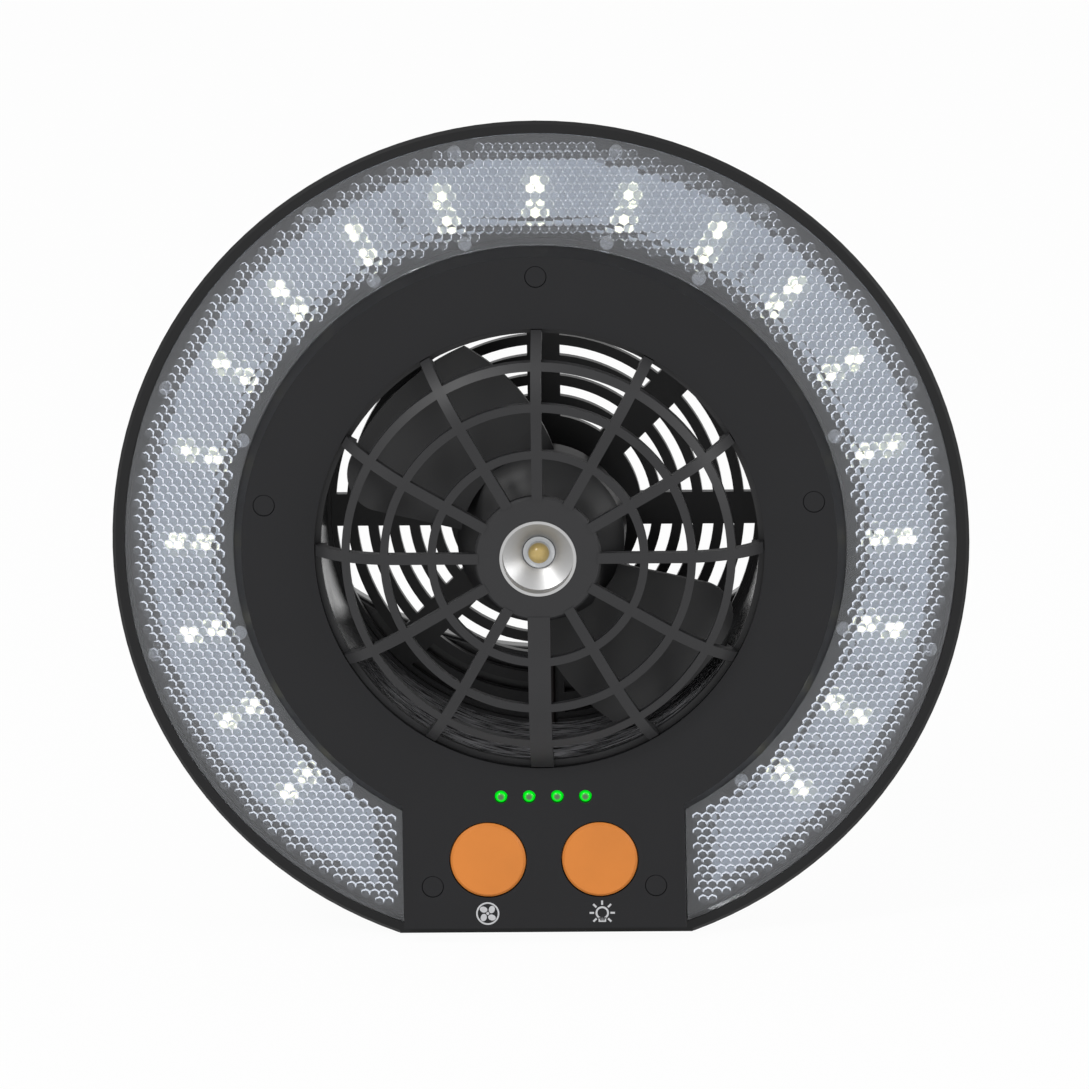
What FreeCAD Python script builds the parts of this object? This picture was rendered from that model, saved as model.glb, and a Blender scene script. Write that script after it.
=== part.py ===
"""Portable camping fan with a ring light and a hub spotlight.

Each piece is drawn in the fan's own frame: x to the right, y backwards from the face of the front panel
("depth"), z upwards from the fan axis. Its Placement then carries it to the table frame, whose origin is on
the table in the middle of the base.
"""
import FreeCAD, Part
import math
import os
import re
import Sketcher

Vector = FreeCAD.Vector
Rotation = FreeCAD.Rotation
doc = FreeCAD.newDocument("CampingFan")

SIZES = (
    # body
    ("rim_r", 105.0, "outer radius of the rim"),
    ("rim_w", 3.0, "width of the rim's front face"),
    ("rim_edge", 0.8, "bevel of the rim's front edge"),
    ("base_cut", 6.0, "flat base above the rim's lowest point"),
    ("face_front", 27.0, "panel face in front of the origin"),
    ("body_depth", 47.4, "panel face to the back face"),
    ("seam_set", 22.0, "panel face to the seam of the two housings"),
    ("seam_gap", 0.2, "gap at that seam"),
    ("seam_draft", 3.2, "rim's outside to the outside at that seam"),
    ("shell_wall", 2.4, "wall of the housings"),
    ("back_draft", 10.0, "rim's outside to the outside of the back, before rounding"),
    ("back_round", 12.0, "rounding of the back edge"),
    ("foot_margin", 3.5, "base beyond the ends of the cells"),
    ("foot_rise", 20.0, "height of the foot under the back shell"),
    ("pad_proud", 0.5, "rubber strips below the base"),
    ("pad_wall", 2.0, "thickness of the rubber strips"),
    ("pad_inset", 5.0, "rubber strips' ends inside the base's ends"),
    ("pad_front", 2.0, "front strip behind the base's front edge"),
    ("pad_rear", 4.0, "rear strip in front of the back face"),
    ("pad_wide", 8.0, "width of the front rubber strip"),
    ("pad_rear_wide", 18.0, "width of the rear rubber strip"),
    ("seat_gap", 0.05, "gap between flat faces that seat on each other"),
    ("loose_gap", 0.5, "gap round pieces that are held loosely"),
    ("fit_gap", 0.3, "gap between round faces that fit loosely"),
    # panel
    ("panel_edge", 2.1, "lens's bore to the panel's face"),
    ("face_w", 17.9, "width of the panel's face ring"),
    ("panel_wall", 2.4, "wall of the panel"),
    ("skirt_wall", 2.0, "wall of the panel's skirt"),
    ("neck_half", 34.6, "half width of the neck"),
    ("neck_rise", 3.6, "neck's lower edge above the table"),
    ("neck_root", 5.1, "neck's upper end inside the fan opening"),
    ("boss_r", 4.2, "screw bosses"),
    ("pilot_r", 1.3, "pilot holes"),
    ("pilot_deep", 6.6, "depth of the pilot holes"),
    ("tray_boss_long", 8.0, "screw bosses behind the tray"),
    ("screw_inset", 5.0, "upper panel screw inside the panel's edge"),
    ("side_inset", 5.7, "side panel screws inside the panel's edge"),
    ("side_screw_z", 11.3, "their height above the axis"),
    ("low_inset", 7.2, "lower panel screws from the neck's sides"),
    ("low_screw_up", 14.2, "lower panel screws above the table"),
    ("plug_r", 2.65, "screw plugs"),
    ("plug_long", 1.6, "length of the screw plugs"),
    ("plug_set", 0.15, "plugs below the face"),
    ("plug_edge", 0.25, "rounding of the plugs"),
    ("head_seat", 5.0, "panel face to the seat of the screw heads"),
    ("screw_reach", 5.0, "panel screws behind the tray's face"),
    # ring light
    ("light_w", 29.9, "rim's outside to the lens's bore"),
    ("lens_step", 3.9, "panel face to the lens's inner edge"),
    ("lens_drop", 5.0, "fall of the lens to its outer edge"),
    ("lens_wall", 1.8, "wall of the lens"),
    ("lens_gap", 0.15, "gap round the lens"),
    ("ledge_in", 4.1, "rim's outside to the inside of the ledge under the lens"),
    ("board_in", 4.7, "lens's bore to the light board"),
    ("board_out", 9.7, "rim's outside to the light board"),
    ("board_set", 11.3, "panel face to the light board"),
    ("board_wall", 1.6, "thickness of the circuit boards"),
    ("board_inset", 7.0, "light board's ends from the neck"),
    ("tray_wall", 2.0, "floor of the tray"),
    ("led_in", 10.5, "lens's bore to the middle of the LED pairs"),
    ("led_pitch", 7.0, "pitch of an LED pair"),
    ("led_long", 3.5, "LED length"),
    ("led_wide", 2.8, "LED width"),
    ("led_tall", 0.8, "LED height"),
    ("led_angle", 15.0, "angle between LED pairs"),
    ("led_last_angle", 135.0, "angle from the top to the last LED pair"),
    # front grille and spotlight
    ("dome_rise", 11.2, "front grille in front of the panel face"),
    ("dome_arc", 24.0, "radius of the grille's shoulder"),
    ("rib_w", 2.6, "width of the ribs"),
    ("rib_deep", 2.4, "depth of ribs and rings"),
    ("rib_skin", 0.9, "rib in front of the groove for the leads"),
    ("rib_angle", 30.0, "angle between ribs"),
    ("lead_rib_w", 5.5, "width of the rib that carries the lead"),
    ("ring_w", 2.0, "width of the rings"),
    ("ring_a_in", 7.9, "fan opening to the middle of the outer ring"),
    ("ring_b_in", 17.5, "fan opening to the middle of the middle ring"),
    ("ring_c_out", 10.5, "hub's edge to the middle of the inner ring"),
    ("flange_w", 3.9, "grille's flange beyond the fan opening"),
    ("flange_wall", 2.0, "thickness of that flange"),
    ("hub_r", 15.5, "radius of the hub's face"),
    ("hub_set", 11.0, "hub's face in front of the panel face"),
    ("hub_wall", 2.4, "thickness of the hub's face"),
    ("hub_edge", 0.5, "bevel of the hub's face"),
    ("barrel_r", 12.0, "outer radius of the hub's barrel"),
    ("barrel_end", 0.6, "panel face to the barrel's back end"),
    ("cup_r", 9.4, "radius of the reflector's rim"),
    ("cup_wall", 0.7, "wall of the reflector"),
    ("cup_deep", 4.0, "depth of the reflector's straight wall"),
    ("cup_cone", 3.4, "depth of the reflector's cone"),
    ("cup_hole_r", 4.1, "hole of the reflector"),
    ("cup_proud", 0.2, "reflector's rim in front of the hub"),
    ("bead_r", 3.9, "radius of the LED bead"),
    ("bead_tall", 1.5, "height of the LED bead's base"),
    ("bead_dome_r", 2.8, "radius of the LED bead's dome"),
    ("star_wall", 1.5, "thickness of the spotlight's board"),
    ("cap_wall", 1.5, "thickness of the hub cap"),
    # fan
    ("duct_in", 1.5, "fan opening to the duct's bore"),
    ("duct_wall", 2.0, "wall of the duct"),
    ("grille_wall", 2.5, "thickness of the rear grille"),
    ("clamp_w", 1.4, "rear grille's flange beyond the duct"),
    ("clamp_in", 0.8, "rear grille's flange inside the duct's bore"),
    ("slot_r", 26.3, "outer radius of the first ring of slots"),
    ("slot_pitch", 5.06, "pitch of the rings of slots"),
    ("slot_w", 2.6, "width of the slots"),
    ("strut_w", 8.0, "width of the rear grille's struts"),
    ("strut_angle", 45.0, "angle between the struts"),
    ("tip_gap", 2.6, "gap between the blades and the duct"),
    ("rotor_hub_r", 20.5, "radius of the rotor's hub"),
    ("rotor_hub_set", 4.8, "panel face to the hub's dome"),
    ("rotor_hub_end", 27.5, "panel face to the hub's back edge"),
    ("rotor_dome", 6.5, "depth of the hub's dome"),
    ("rotor_wall", 1.7, "wall of the rotor's hub"),
    ("rotor_boss_r", 4.5, "boss round the shaft"),
    ("rotor_boss_end", 18.0, "panel face to the end of that boss"),
    ("blade_mid", 12.8, "panel face to the middle of the blades"),
    ("blade_twist", 9.8, "rise of a blade per unit of slope"),
    ("blade_wall", 1.6, "thickness of the blades"),
    ("blade_rear_root_angle", 80.0, "angle of a blade's rear edge at the hub"),
    ("blade_rear_tip_angle", 111.0, "angle of a blade's rear edge at the tip"),
    ("blade_front_root_angle", 167.0, "angle of a blade's front edge at the hub"),
    ("blade_front_tip_angle", 155.0, "angle of a blade's front edge at the tip"),
    ("blade_bow_angle", 1.5, "bow of a blade's rear edge"),
    ("motor_r", 12.2, "radius of the motor"),
    ("motor_set", 19.2, "panel face to the motor's front"),
    ("can_wall", 1.0, "wall of the motor's can"),
    ("motor_back", 0.2, "end cap in front of the rear grille"),
    ("end_cap_wall", 3.2, "thickness of the motor's end cap"),
    ("end_cap_skin", 0.5, "end cap behind the shaft's bush"),
    ("magnet_in_r", 9.2, "inner radius of the magnets"),
    ("magnet_over", 1.0, "magnets beyond the armature's ends"),
    ("armature_r", 8.6, "radius of the armature"),
    ("armature_set", 23.5, "panel face to the armature"),
    ("armature_end", 5.0, "armature to the can's back edge"),
    ("pole_gap", 1.2, "slots of the armature"),
    ("pole_root", 4.0, "shaft to the slots of the armature"),
    ("commutator_long", 3.0, "length of the commutator"),
    ("shaft_r", 1.0, "radius of the motor shaft"),
    ("shaft_gap", 0.04, "running clearance of the shaft"),
    ("shaft_in", 8.0, "shaft inside the rotor's boss"),
    ("bush_r", 3.0, "radius of the bushes"),
    ("bush_long", 2.6, "length of the bushes"),
    ("seat_wall", 2.0, "wall of the motor's seat"),
    ("seat_long", 10.9, "length of the motor's seat"),
    # power and controls
    ("cell_r", 9.2, "radius of the cells"),
    ("cell_long", 65.0, "length of the cells"),
    ("cell_front_gap", 1.4, "upper cell behind the tray"),
    ("cell_gap", 1.45, "gap between the cells"),
    ("cell_back_gap", 1.3, "lower cell in front of the back wall"),
    ("cell_low_gap", 1.4, "lower cell above the base's floor"),
    ("saddle_x", 20.0, "battery saddles from the middle"),
    ("saddle_wall", 3.0, "thickness of the saddles"),
    ("tab_wall", 0.3, "thickness of the battery tabs"),
    ("tab_reach", 2.0, "tabs beyond the axes of the cells"),
    ("button_r", 9.25, "radius of the buttons"),
    ("button_x", 13.7, "buttons from the middle"),
    ("button_up", 20.9, "buttons above the table"),
    ("button_proud", 0.4, "buttons in front of the panel"),
    ("button_travel", 0.5, "travel of the buttons"),
    ("button_round", 0.6, "rounding of the buttons' edge"),
    ("button_lip", 1.1, "lip that keeps a button in"),
    ("control_set", 9.2, "panel face to the control board"),
    ("control_side", 4.6, "control board inside the neck's sides"),
    ("control_top_gap", 1.3, "grille's flange to the control board"),
    ("control_up", 6.0, "control board's lower edge above the table"),
    ("switch_side", 6.0, "side of the switches"),
    ("switch_tall", 3.5, "height of the switches"),
    ("plunger_r", 1.7, "radius of the plungers"),
    ("plunger_deep", 1.8, "plunger's length inside its switch"),
    ("lamp_r", 1.5, "radius of the indicators"),
    ("lamp_pitch", 6.9, "pitch of the indicators"),
    ("lamp_below", 3.3, "grille's flange to the indicators"),
    ("lamp_proud", 0.2, "indicators in front of the panel"),
    ("lamp_collar", 0.4, "collar of the indicators"),
    ("collar_long", 1.0, "length of that collar"),
    ("post_r", 2.6, "posts of the control board"),
    ("post_head", 1.2, "height of their screws' heads"),
    ("port_x", 10.0, "charging port from the middle"),
    ("port_up", 33.0, "charging port above the table"),
    ("port_w", 8.9, "width of the socket"),
    ("port_tall", 3.2, "height of the socket"),
    ("port_long", 7.3, "length of the socket"),
    ("port_wall", 0.3, "wall of the socket"),
    ("port_set", 1.8, "socket's mouth in front of the back face"),
    ("tongue_wall", 0.7, "thickness of the socket's tongue"),
    ("power_long", 25.0, "length of the power board"),
    ("power_wide", 8.6, "width of the power board"),
    ("power_wall", 1.0, "thickness of the power board"),
    ("power_beside", 7.0, "power board beyond the port's middle"),
    ("cover_w", 15.0, "width of the port cover"),
    ("cover_tall", 9.6, "height of the port cover"),
    ("cover_wall", 1.5, "thickness of the port cover"),
    ("cover_proud", 0.1, "port cover behind the back face"),
    ("nail_w", 4.0, "width of the cover's nail"),
    ("nail_side", 0.8, "side of the cover's nail"),
    ("cover_pin_r", 0.5, "radius of the cover's pin"),
    ("pin_reach", 1.2, "cover's pin inside the shell"),
    # housing screws
    ("rear_side_out", 8.9, "side housing screws outside the fan opening"),
    ("rear_top_x", 36.0, "upper housing screws from the middle"),
    ("rear_top_in", 39.0, "upper housing screws below the rim's top"),
    ("rear_low_out", 8.0, "lower housing screws beyond the base's ends"),
    ("rear_low_up", 37.0, "lower housing screws above the table"),
    ("rear_seat", 33.0, "panel face to the seat of these screws"),
    ("screw_tip", 3.0, "these screws' tips behind the tray"),
    ("head_r", 2.5, "radius of the screw heads"),
    ("head_tall", 1.8, "height of the screw heads"),
    ("shank_r", 1.25, "radius of the screw shanks"),
    # handle
    ("bow_in", 19.0, "rim's radius less the inner radius of the handle's bow"),
    ("bail_grip", 18.0, "width of the handle's grip"),
    ("arm_in", 35.8, "rim's outside to the inside of the handle's arms"),
    ("bail_arm", 9.4, "width of the arms"),
    ("bail_wall", 6.0, "thickness of the handle"),
    ("bail_round", 1.2, "rounding of the handle's edges"),
    ("pivot_in", 55.0, "handle's pivot below the rim's top"),
    ("bail_gap", 1.5, "handle behind the back face"),
    ("ear_wall", 7.0, "thickness of the ears"),
    ("ear_r", 5.2, "radius of the ears"),
    ("ear_gap", 0.5, "gap between ear and arm"),
    ("knuckle_r", 4.1, "radius of the handle's ends"),
    ("pin_r", 2.0, "radius of the handle's pins"),
    ("pin_gap", 0.06, "running clearance of the pins"),
    ("pin_head_r", 3.2, "radius of the pins' heads"),
    ("pin_head", 1.0, "height of the pins' heads"),
    # wires
    ("wire_r", 0.65, "radius of a wire"),
    ("wire_gap", 2.2, "pitch of a pair of wires"),
    ("wire_bend", 3.0, "bend of the wires"),
    ("lead_angle", 50.0, "fall of the leads over the grille's shoulder"),
)

sheet = doc.addObject("Spreadsheet::Sheet", "Sizes")
for row, (alias, value, note) in enumerate(SIZES, 1):
    sheet.set("A%d" % row, note)
    sheet.set("B%d" % row, str(value))
    sheet.setAlias("B%d" % row, alias)
doc.recompute()

# places that follow from the sizes, as expressions
AXIS_UP = "(rim_r - base_cut)"
SEAM_R = "(rim_r - seam_draft)"
BACK_R = "(rim_r - back_draft)"
LENS_IN_R = "(rim_r - light_w)"
PANEL_R = "(rim_r - light_w - panel_edge)"
OPENING_R = "(rim_r - light_w - panel_edge - face_w)"
FLANGE_R = "(%s + flange_w)" % OPENING_R
DUCT_R = "(%s - duct_in)" % OPENING_R
ROTOR_R = "(%s - tip_gap)" % DUCT_R
FOOT_HALF = "(cell_long / 2 + foot_margin)"
PAD_HALF = "(%s - pad_inset)" % FOOT_HALF
NECK_DROP = "(%s - neck_rise)" % AXIS_UP
NECK_TOP = "(%s - neck_root)" % OPENING_R
RIM_SET = "(lens_step + lens_drop)"
LEDGE_SET = "(lens_step + lens_drop + lens_wall + seat_gap)"
TRAY_SET = "(board_set + board_wall)"
TRAY_BACK = "(board_set + board_wall + tray_wall)"
SKIRT_R = "(%s - lens_gap)" % LENS_IN_R
BASE_Z = "(pad_proud - %s)" % AXIS_UP
FLANGE_SET = "(panel_wall + seat_gap)"
DUCT_SET = "(panel_wall + 2 * seat_gap + flange_wall)"
GRILLE_SET = "(body_depth - grille_wall)"
HOLE_R = "(%s - seat_gap)" % DUCT_R
CUP_END = "(cup_deep + cup_cone - hub_set)"
STAR_SET = "(cup_deep + cup_cone + bead_tall - hub_set)"
BAIL_SET = "(body_depth + bail_gap)"
PIVOT_SET = "(body_depth + bail_gap + bail_wall / 2)"
COVER_SET = "(body_depth - cover_wall + cover_proud)"
CAN_END = "(%s - motor_back - end_cap_wall)" % GRILLE_SET
ARMATURE_LONG = "(%s - armature_end - armature_set)" % CAN_END
CELL_A_SET = "(%s + cell_front_gap + cell_r)" % TRAY_BACK
CELL_B_SET = "(body_depth - shell_wall - cell_back_gap - cell_r)"
CELL_B_Z = "(%s + shell_wall + cell_low_gap + cell_r)" % BASE_Z
CELL_A_Z = "(%s + sqrt((2 * cell_r + cell_gap)^2 - (%s - %s)^2))" % (CELL_B_Z, CELL_B_SET, CELL_A_SET)
BUTTON_Z = "(button_up - %s)" % AXIS_UP
CONTROL_HALF = "(neck_half - control_side)"
CONTROL_TOP = "(-%s - control_top_gap)" % FLANGE_R
CONTROL_LOW = "(control_up - %s)" % AXIS_UP
LAMP_Z = "(-%s - lamp_below)" % FLANGE_R
PORT_Z = "(port_up - %s)" % AXIS_UP
BAIL_IN_R = "(rim_r - bow_in)"
BAIL_HALF = "(rim_r - arm_in)"
BAIL_Z = "(rim_r - pivot_in)"

ALIASES = {alias for alias, value, note in SIZES}
pieces = []


def spelled(text):
    """An expression with the sheet's name before each of its sizes."""
    return re.sub(r"[a-z]\w*", lambda word: "Sizes." + word.group(0) if word.group(0) in ALIASES
                  else word.group(0), text)


def mm(text):
    """The value of an expression now."""
    return float(sheet.evalExpression(spelled(text)))


def bind(obj, **properties):
    """Ties properties to expressions; x, depth and z stand for the place."""
    places = {"x": "Placement.Base.x", "depth": "Placement.Base.y", "z": "Placement.Base.z"}
    for name, text in properties.items():
        obj.setExpression(places.get(name, name), spelled(text))
    return obj


def seat(label, obj):
    """Names a finished piece and carries it to the table frame."""
    if obj.TypeId in ("Part::Box", "Part::Cylinder"):
        holder = doc.addObject("Part::Compound", "Piece")
        holder.Links = [obj]
        obj = holder
    obj.Label = label
    bind(obj, depth="-face_front", z=AXIS_UP)
    pieces.append(obj)
    return obj


def shaped(label, shape):
    """A piece whose shape is worked out here."""
    obj = doc.addObject("Part::Feature", label)
    obj.Shape = shape
    return seat(label, obj)


# drawing helpers that follow the sheet
def bar(radius, length, x="0", depth="0", z="0"):
    """Round bar along the depth, its front end at the given place."""
    obj = doc.addObject("Part::Cylinder", "Bar")
    obj.Placement = FreeCAD.Placement(Vector(), Rotation(Vector(1, 0, 0), -90))
    return bind(obj, Radius=radius, Height=length, x=x, depth=depth, z=z)


def cross_bar(radius, length, x="0", depth="0", z="0"):
    """Round bar along x, its left end at the given place."""
    obj = doc.addObject("Part::Cylinder", "CrossBar")
    obj.Placement = FreeCAD.Placement(Vector(), Rotation(Vector(0, 1, 0), 90))
    return bind(obj, Radius=radius, Height=length, x=x, depth=depth, z=z)


def block(wide, deep, tall, x="0", depth="0", z="0"):
    """Box with its left, front, lower corner at the given place."""
    obj = doc.addObject("Part::Box", "Block")
    return bind(obj, Length=wide, Width=deep, Height=tall, x=x, depth=depth, z=z)


def fused(*parts):
    obj = doc.addObject("Part::MultiFuse", "Fused")
    obj.Shapes = list(parts)
    return obj


def without(base, *tools):
    obj = doc.addObject("Part::Cut", "Cut")
    obj.Base = base
    obj.Tool = tools[0] if len(tools) == 1 else fused(*tools)
    return obj


def shared(*parts):
    obj = doc.addObject("Part::MultiCommon", "Shared")
    obj.Shapes = list(parts)
    return obj


def turned(name, *corners):
    """Body of revolution about the fan axis, from (depth, radius) corners."""
    body = doc.addObject("PartDesign::Body", name)
    plane = next(item for item in body.Origin.OriginFeatures if item.Role == "YZ_Plane")
    sketch = body.newObject("Sketcher::SketchObject", name + "_profile")
    sketch.AttachmentSupport = (plane, [""])
    sketch.MapMode = "FlatFace"
    points = [Vector(mm(depth), mm(radius), 0) for depth, radius in corners]
    count = len(points)
    for index in range(count):
        sketch.addGeometry(Part.LineSegment(points[index], points[(index + 1) % count]), False)
    for index in range(count):
        sketch.addConstraint(Sketcher.Constraint("Coincident", index, 2, (index + 1) % count, 1))
    for index, corner in enumerate(corners):
        for kind, text in zip(("DistanceX", "DistanceY"), corner):
            place = sketch.addConstraint(Sketcher.Constraint(kind, -1, 1, index, 1, mm(text)))
            sketch.setExpression("Constraints[%d]" % place, spelled(text))
    turn = body.newObject("PartDesign::Revolution", name + "_turn")
    turn.Profile = sketch
    turn.ReferenceAxis = (sketch, ["H_Axis"])
    turn.Angle = 360
    return body


def rounded(name, base, radius, wanted):
    """Fillet on the edges that the test picks."""
    doc.recompute()
    obj = doc.addObject("Part::Fillet", name)
    obj.Base = base
    obj.Edges = [(index, radius, radius) for index, edge in enumerate(base.Shape.Edges, 1) if wanted(edge)]
    return obj


def at_circle(depth, radius):
    """Test for a round edge about the fan axis."""
    def wanted(edge):
        box = edge.BoundBox
        flat = abs(box.YMin - depth) < 0.01 and abs(box.YMax - depth) < 0.01
        return flat and abs(box.XMax - radius) < 0.01 and abs(box.ZMax - radius) < 0.01
    return wanted


# places of the screws, as (x, z) expressions
PANEL_SCREWS = [("0", PANEL_R + " - screw_inset")]
PANEL_SCREWS += [("%s(%s - side_inset)" % (side, PANEL_R), "side_screw_z") for side in ("", "-")]
PANEL_SCREWS += [("%s(neck_half - low_inset)" % side, "low_screw_up - " + AXIS_UP) for side in ("", "-")]
REAR_SCREWS = [("%s(%s + rear_side_out)" % (side, OPENING_R), "0") for side in ("", "-")]
REAR_SCREWS += [(side + "rear_top_x", "rim_r - rear_top_in") for side in ("", "-")]
REAR_SCREWS += [("%s(%s + rear_low_out)" % (side, FOOT_HALF), "rear_low_up - " + AXIS_UP)
                for side in ("", "-")]
BOARD_POSTS = [("%s0.8 * %s" % (side, CONTROL_HALF), CONTROL_TOP + " - 2.2 * post_r") for side in ("", "-")]
BOARD_POSTS += [("%s%s / 3" % (side, CONTROL_HALF), CONTROL_LOW + " + post_r") for side in ("", "-")]
BUTTONS = [("fan", "-button_x"), ("light", "button_x")]


# housings
def front_housing():
    """Rim, ledge for the lens, tray behind the ring light and the front of the base."""
    bore = DUCT_R + " + duct_wall + fit_gap"
    ring = turned("FrontRing",
                  (TRAY_SET, bore), (TRAY_SET, "rim_r - ledge_in"), (LEDGE_SET, "rim_r - ledge_in"),
                  (LEDGE_SET, "rim_r - rim_w"), (RIM_SET, "rim_r - rim_w"), (RIM_SET, "rim_r - rim_edge"),
                  (RIM_SET + " + rim_edge", "rim_r"), ("seam_set", SEAM_R),
                  ("seam_set", SEAM_R + " - shell_wall"), (TRAY_BACK, SEAM_R + " - shell_wall"),
                  (TRAY_BACK, bore))
    base = block("2 * " + FOOT_HALF, "seam_set - " + RIM_SET, "shell_wall", "-" + FOOT_HALF, RIM_SET, BASE_Z)
    bosses = [bar("boss_r", "tray_boss_long", x, TRAY_BACK, z) for x, z in PANEL_SCREWS]
    bosses += [bar("boss_r", "seam_set - " + TRAY_BACK, x, TRAY_BACK, z) for x, z in REAR_SCREWS]
    posts = [bar("post_r", TRAY_SET + " - control_set - board_wall", x, "control_set + board_wall", z)
             for x, z in BOARD_POSTS]
    well = block("2 * (neck_half + fit_gap)", "board_set + board_wall - " + RIM_SET,
                 "%s - %s" % (NECK_DROP, NECK_TOP), "-neck_half - fit_gap", RIM_SET,
                 "-%s - lens_gap" % NECK_DROP)
    below = block("4 * rim_r", "2 * body_depth", "rim_r", "-2 * rim_r", "0", BASE_Z + " - rim_r")
    pilots = [bar("pilot_r", "pilot_deep", x, TRAY_SET, z) for x, z in PANEL_SCREWS]
    pilots += [bar("pilot_r", "seam_set - " + TRAY_BACK, x, TRAY_BACK + " + tray_wall / 2", z)
               for x, z in REAR_SCREWS]
    pilots += [bar("pilot_r / 2", "board_wall + tray_wall", x, "control_set + board_wall", z)
               for x, z in BOARD_POSTS]
    seat_cut = block("2 * " + PAD_HALF, "pad_wide", "pad_wall - pad_proud", "-" + PAD_HALF,
                     RIM_SET + " + pad_front", BASE_Z)
    shell = without(fused(ring, base, *bosses), well)
    return seat("front_housing", without(fused(shell, *posts), below, seat_cut, *pilots))


def rear_housing():
    """Back shell with its rounded edge, foot, screw bosses and the ears of the handle."""
    front = "seam_set + seam_gap"
    outside = turned("RearOutside", (front, "0"), (front, SEAM_R), ("body_depth", BACK_R),
                     ("body_depth", "0"))
    inside = turned("RearInside", (front, "0"), (front, SEAM_R + " - shell_wall"),
                    ("body_depth - shell_wall", BACK_R + " - shell_wall"), ("body_depth - shell_wall", "0"))
    outside = rounded("RoundOutside", outside, mm("back_round"), at_circle(mm("body_depth"), mm(BACK_R)))
    inside = rounded("RoundInside", inside, mm("back_round - shell_wall"),
                     at_circle(mm("body_depth - shell_wall"), mm(BACK_R + " - shell_wall")))
    foot = block("2 * " + FOOT_HALF, "body_depth - seam_set - seam_gap", "foot_rise", "-" + FOOT_HALF, front,
                 BASE_Z)
    foot_inside = block("2 * (%s - shell_wall)" % FOOT_HALF, "body_depth - seam_set - seam_gap - shell_wall",
                        "foot_rise", "shell_wall - " + FOOT_HALF, front, BASE_Z + " + shell_wall")
    below = block("4 * rim_r", "2 * body_depth", "rim_r", "-2 * rim_r", "0", BASE_Z + " - rim_r")
    shell = without(fused(outside, foot), inside, foot_inside, below)
    bosses = [bar("boss_r", "body_depth - seam_set - seam_gap", x, front, z) for x, z in REAR_SCREWS]
    ears = []
    for left in ("ear_gap - " + BAIL_HALF, BAIL_HALF + " - ear_gap - ear_wall"):
        ears.append(cross_bar("ear_r", "ear_wall", left, PIVOT_SET, BAIL_Z))
        ears.append(block("ear_wall", PIVOT_SET + " - body_depth + shell_wall", "2 * ear_r", left,
                          "body_depth - shell_wall", BAIL_Z + " - ear_r"))
    bores = [bar(DUCT_R, "3 * shell_wall", "0", "body_depth - 2 * shell_wall", "0")]
    for x, z in REAR_SCREWS:
        bores.append(bar("shank_r + fit_gap", "body_depth", x, "seam_set", z))
        bores.append(bar("head_r + fit_gap", "body_depth", x, "rear_seat", z))
    bores.append(cross_bar("pin_r", "4 * " + BAIL_HALF, "-2 * " + BAIL_HALF, PIVOT_SET, BAIL_Z))
    pad = block("2 * " + PAD_HALF, "pad_rear_wide", "pad_wall - pad_proud", "-" + PAD_HALF,
                "body_depth - pad_rear - pad_rear_wide", BASE_Z)
    cover_seat = block("cover_w + 2 * fit_gap", "cover_wall", "cover_tall + 2 * fit_gap",
                       "port_x - cover_w / 2 - fit_gap", COVER_SET + " - seat_gap",
                       PORT_Z + " - cover_tall / 2 - fit_gap")
    port = block("port_w + fit_gap", "2 * shell_wall", "port_tall + fit_gap",
                 "port_x - (port_w + fit_gap) / 2", "body_depth - 2 * shell_wall",
                 PORT_Z + " - (port_tall + fit_gap) / 2")
    pin = cross_bar("cover_pin_r", "cover_w + 2 * (pin_reach + fit_gap)",
                    "port_x - cover_w / 2 - pin_reach - fit_gap", COVER_SET + " + cover_wall / 2",
                    PORT_Z + " + cover_tall / 2 - cover_wall / 2")
    return seat("rear_housing", without(fused(shell, *bosses, *ears), *bores, pad, cover_seat, port, pin))


def base_pads():
    long, left = "2 * %s - fit_gap" % PAD_HALF, "fit_gap / 2 - " + PAD_HALF
    front = block(long, "pad_wide - fit_gap", "pad_wall - seat_gap", left,
                  RIM_SET + " + pad_front + fit_gap / 2", "-" + AXIS_UP)
    rear = block(long, "pad_rear_wide - fit_gap", "pad_wall - seat_gap", left,
                 "body_depth - pad_rear - pad_rear_wide + fit_gap / 2", "-" + AXIS_UP)
    return seat("base_pads", fused(front, rear))


def front_panel():
    """Face ring with its chamfered edge and skirt, and the neck with the holes for the controls."""
    end = TRAY_SET + " - seat_gap"
    puck = turned("PanelPuck", ("0", "0"), ("0", PANEL_R), ("lens_step", SKIRT_R), (end, SKIRT_R), (end, "0"))
    neck = block("2 * neck_half", end, "%s - %s" % (NECK_DROP, NECK_TOP), "-neck_half", "0", "-" + NECK_DROP)
    hollow = bar(SKIRT_R + " - skirt_wall", "body_depth", "0", "panel_wall", "0")
    neck_hollow = block("2 * (neck_half - skirt_wall)", "body_depth",
                        "%s - skirt_wall - %s" % (NECK_DROP, NECK_TOP), "skirt_wall - neck_half",
                        "panel_wall", "skirt_wall - " + NECK_DROP)
    bosses = [bar("boss_r", end + " - panel_wall", x, "panel_wall", z) for x, z in PANEL_SCREWS]
    shell = fused(without(fused(puck, neck), hollow, neck_hollow), *bosses)
    holes = [bar(OPENING_R, "2 * panel_wall", "0", "-panel_wall / 2", "0")]
    holes += [bar("button_r + fit_gap", "2 * panel_wall", x, "-panel_wall / 2", BUTTON_Z)
              for name, x in BUTTONS]
    holes += [bar("lamp_r + fit_gap / 2", "2 * panel_wall", "lamp_pitch * %s" % place, "-panel_wall / 2",
                  LAMP_Z) for place in (-1.5, -0.5, 0.5, 1.5)]
    for x, z in PANEL_SCREWS:
        holes.append(bar("plug_r + seat_gap", "head_seat", x, "0", z))
        holes.append(bar("shank_r + fit_gap", "body_depth", x, "0", z))
    return seat("front_panel", without(shell, *holes))


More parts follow.
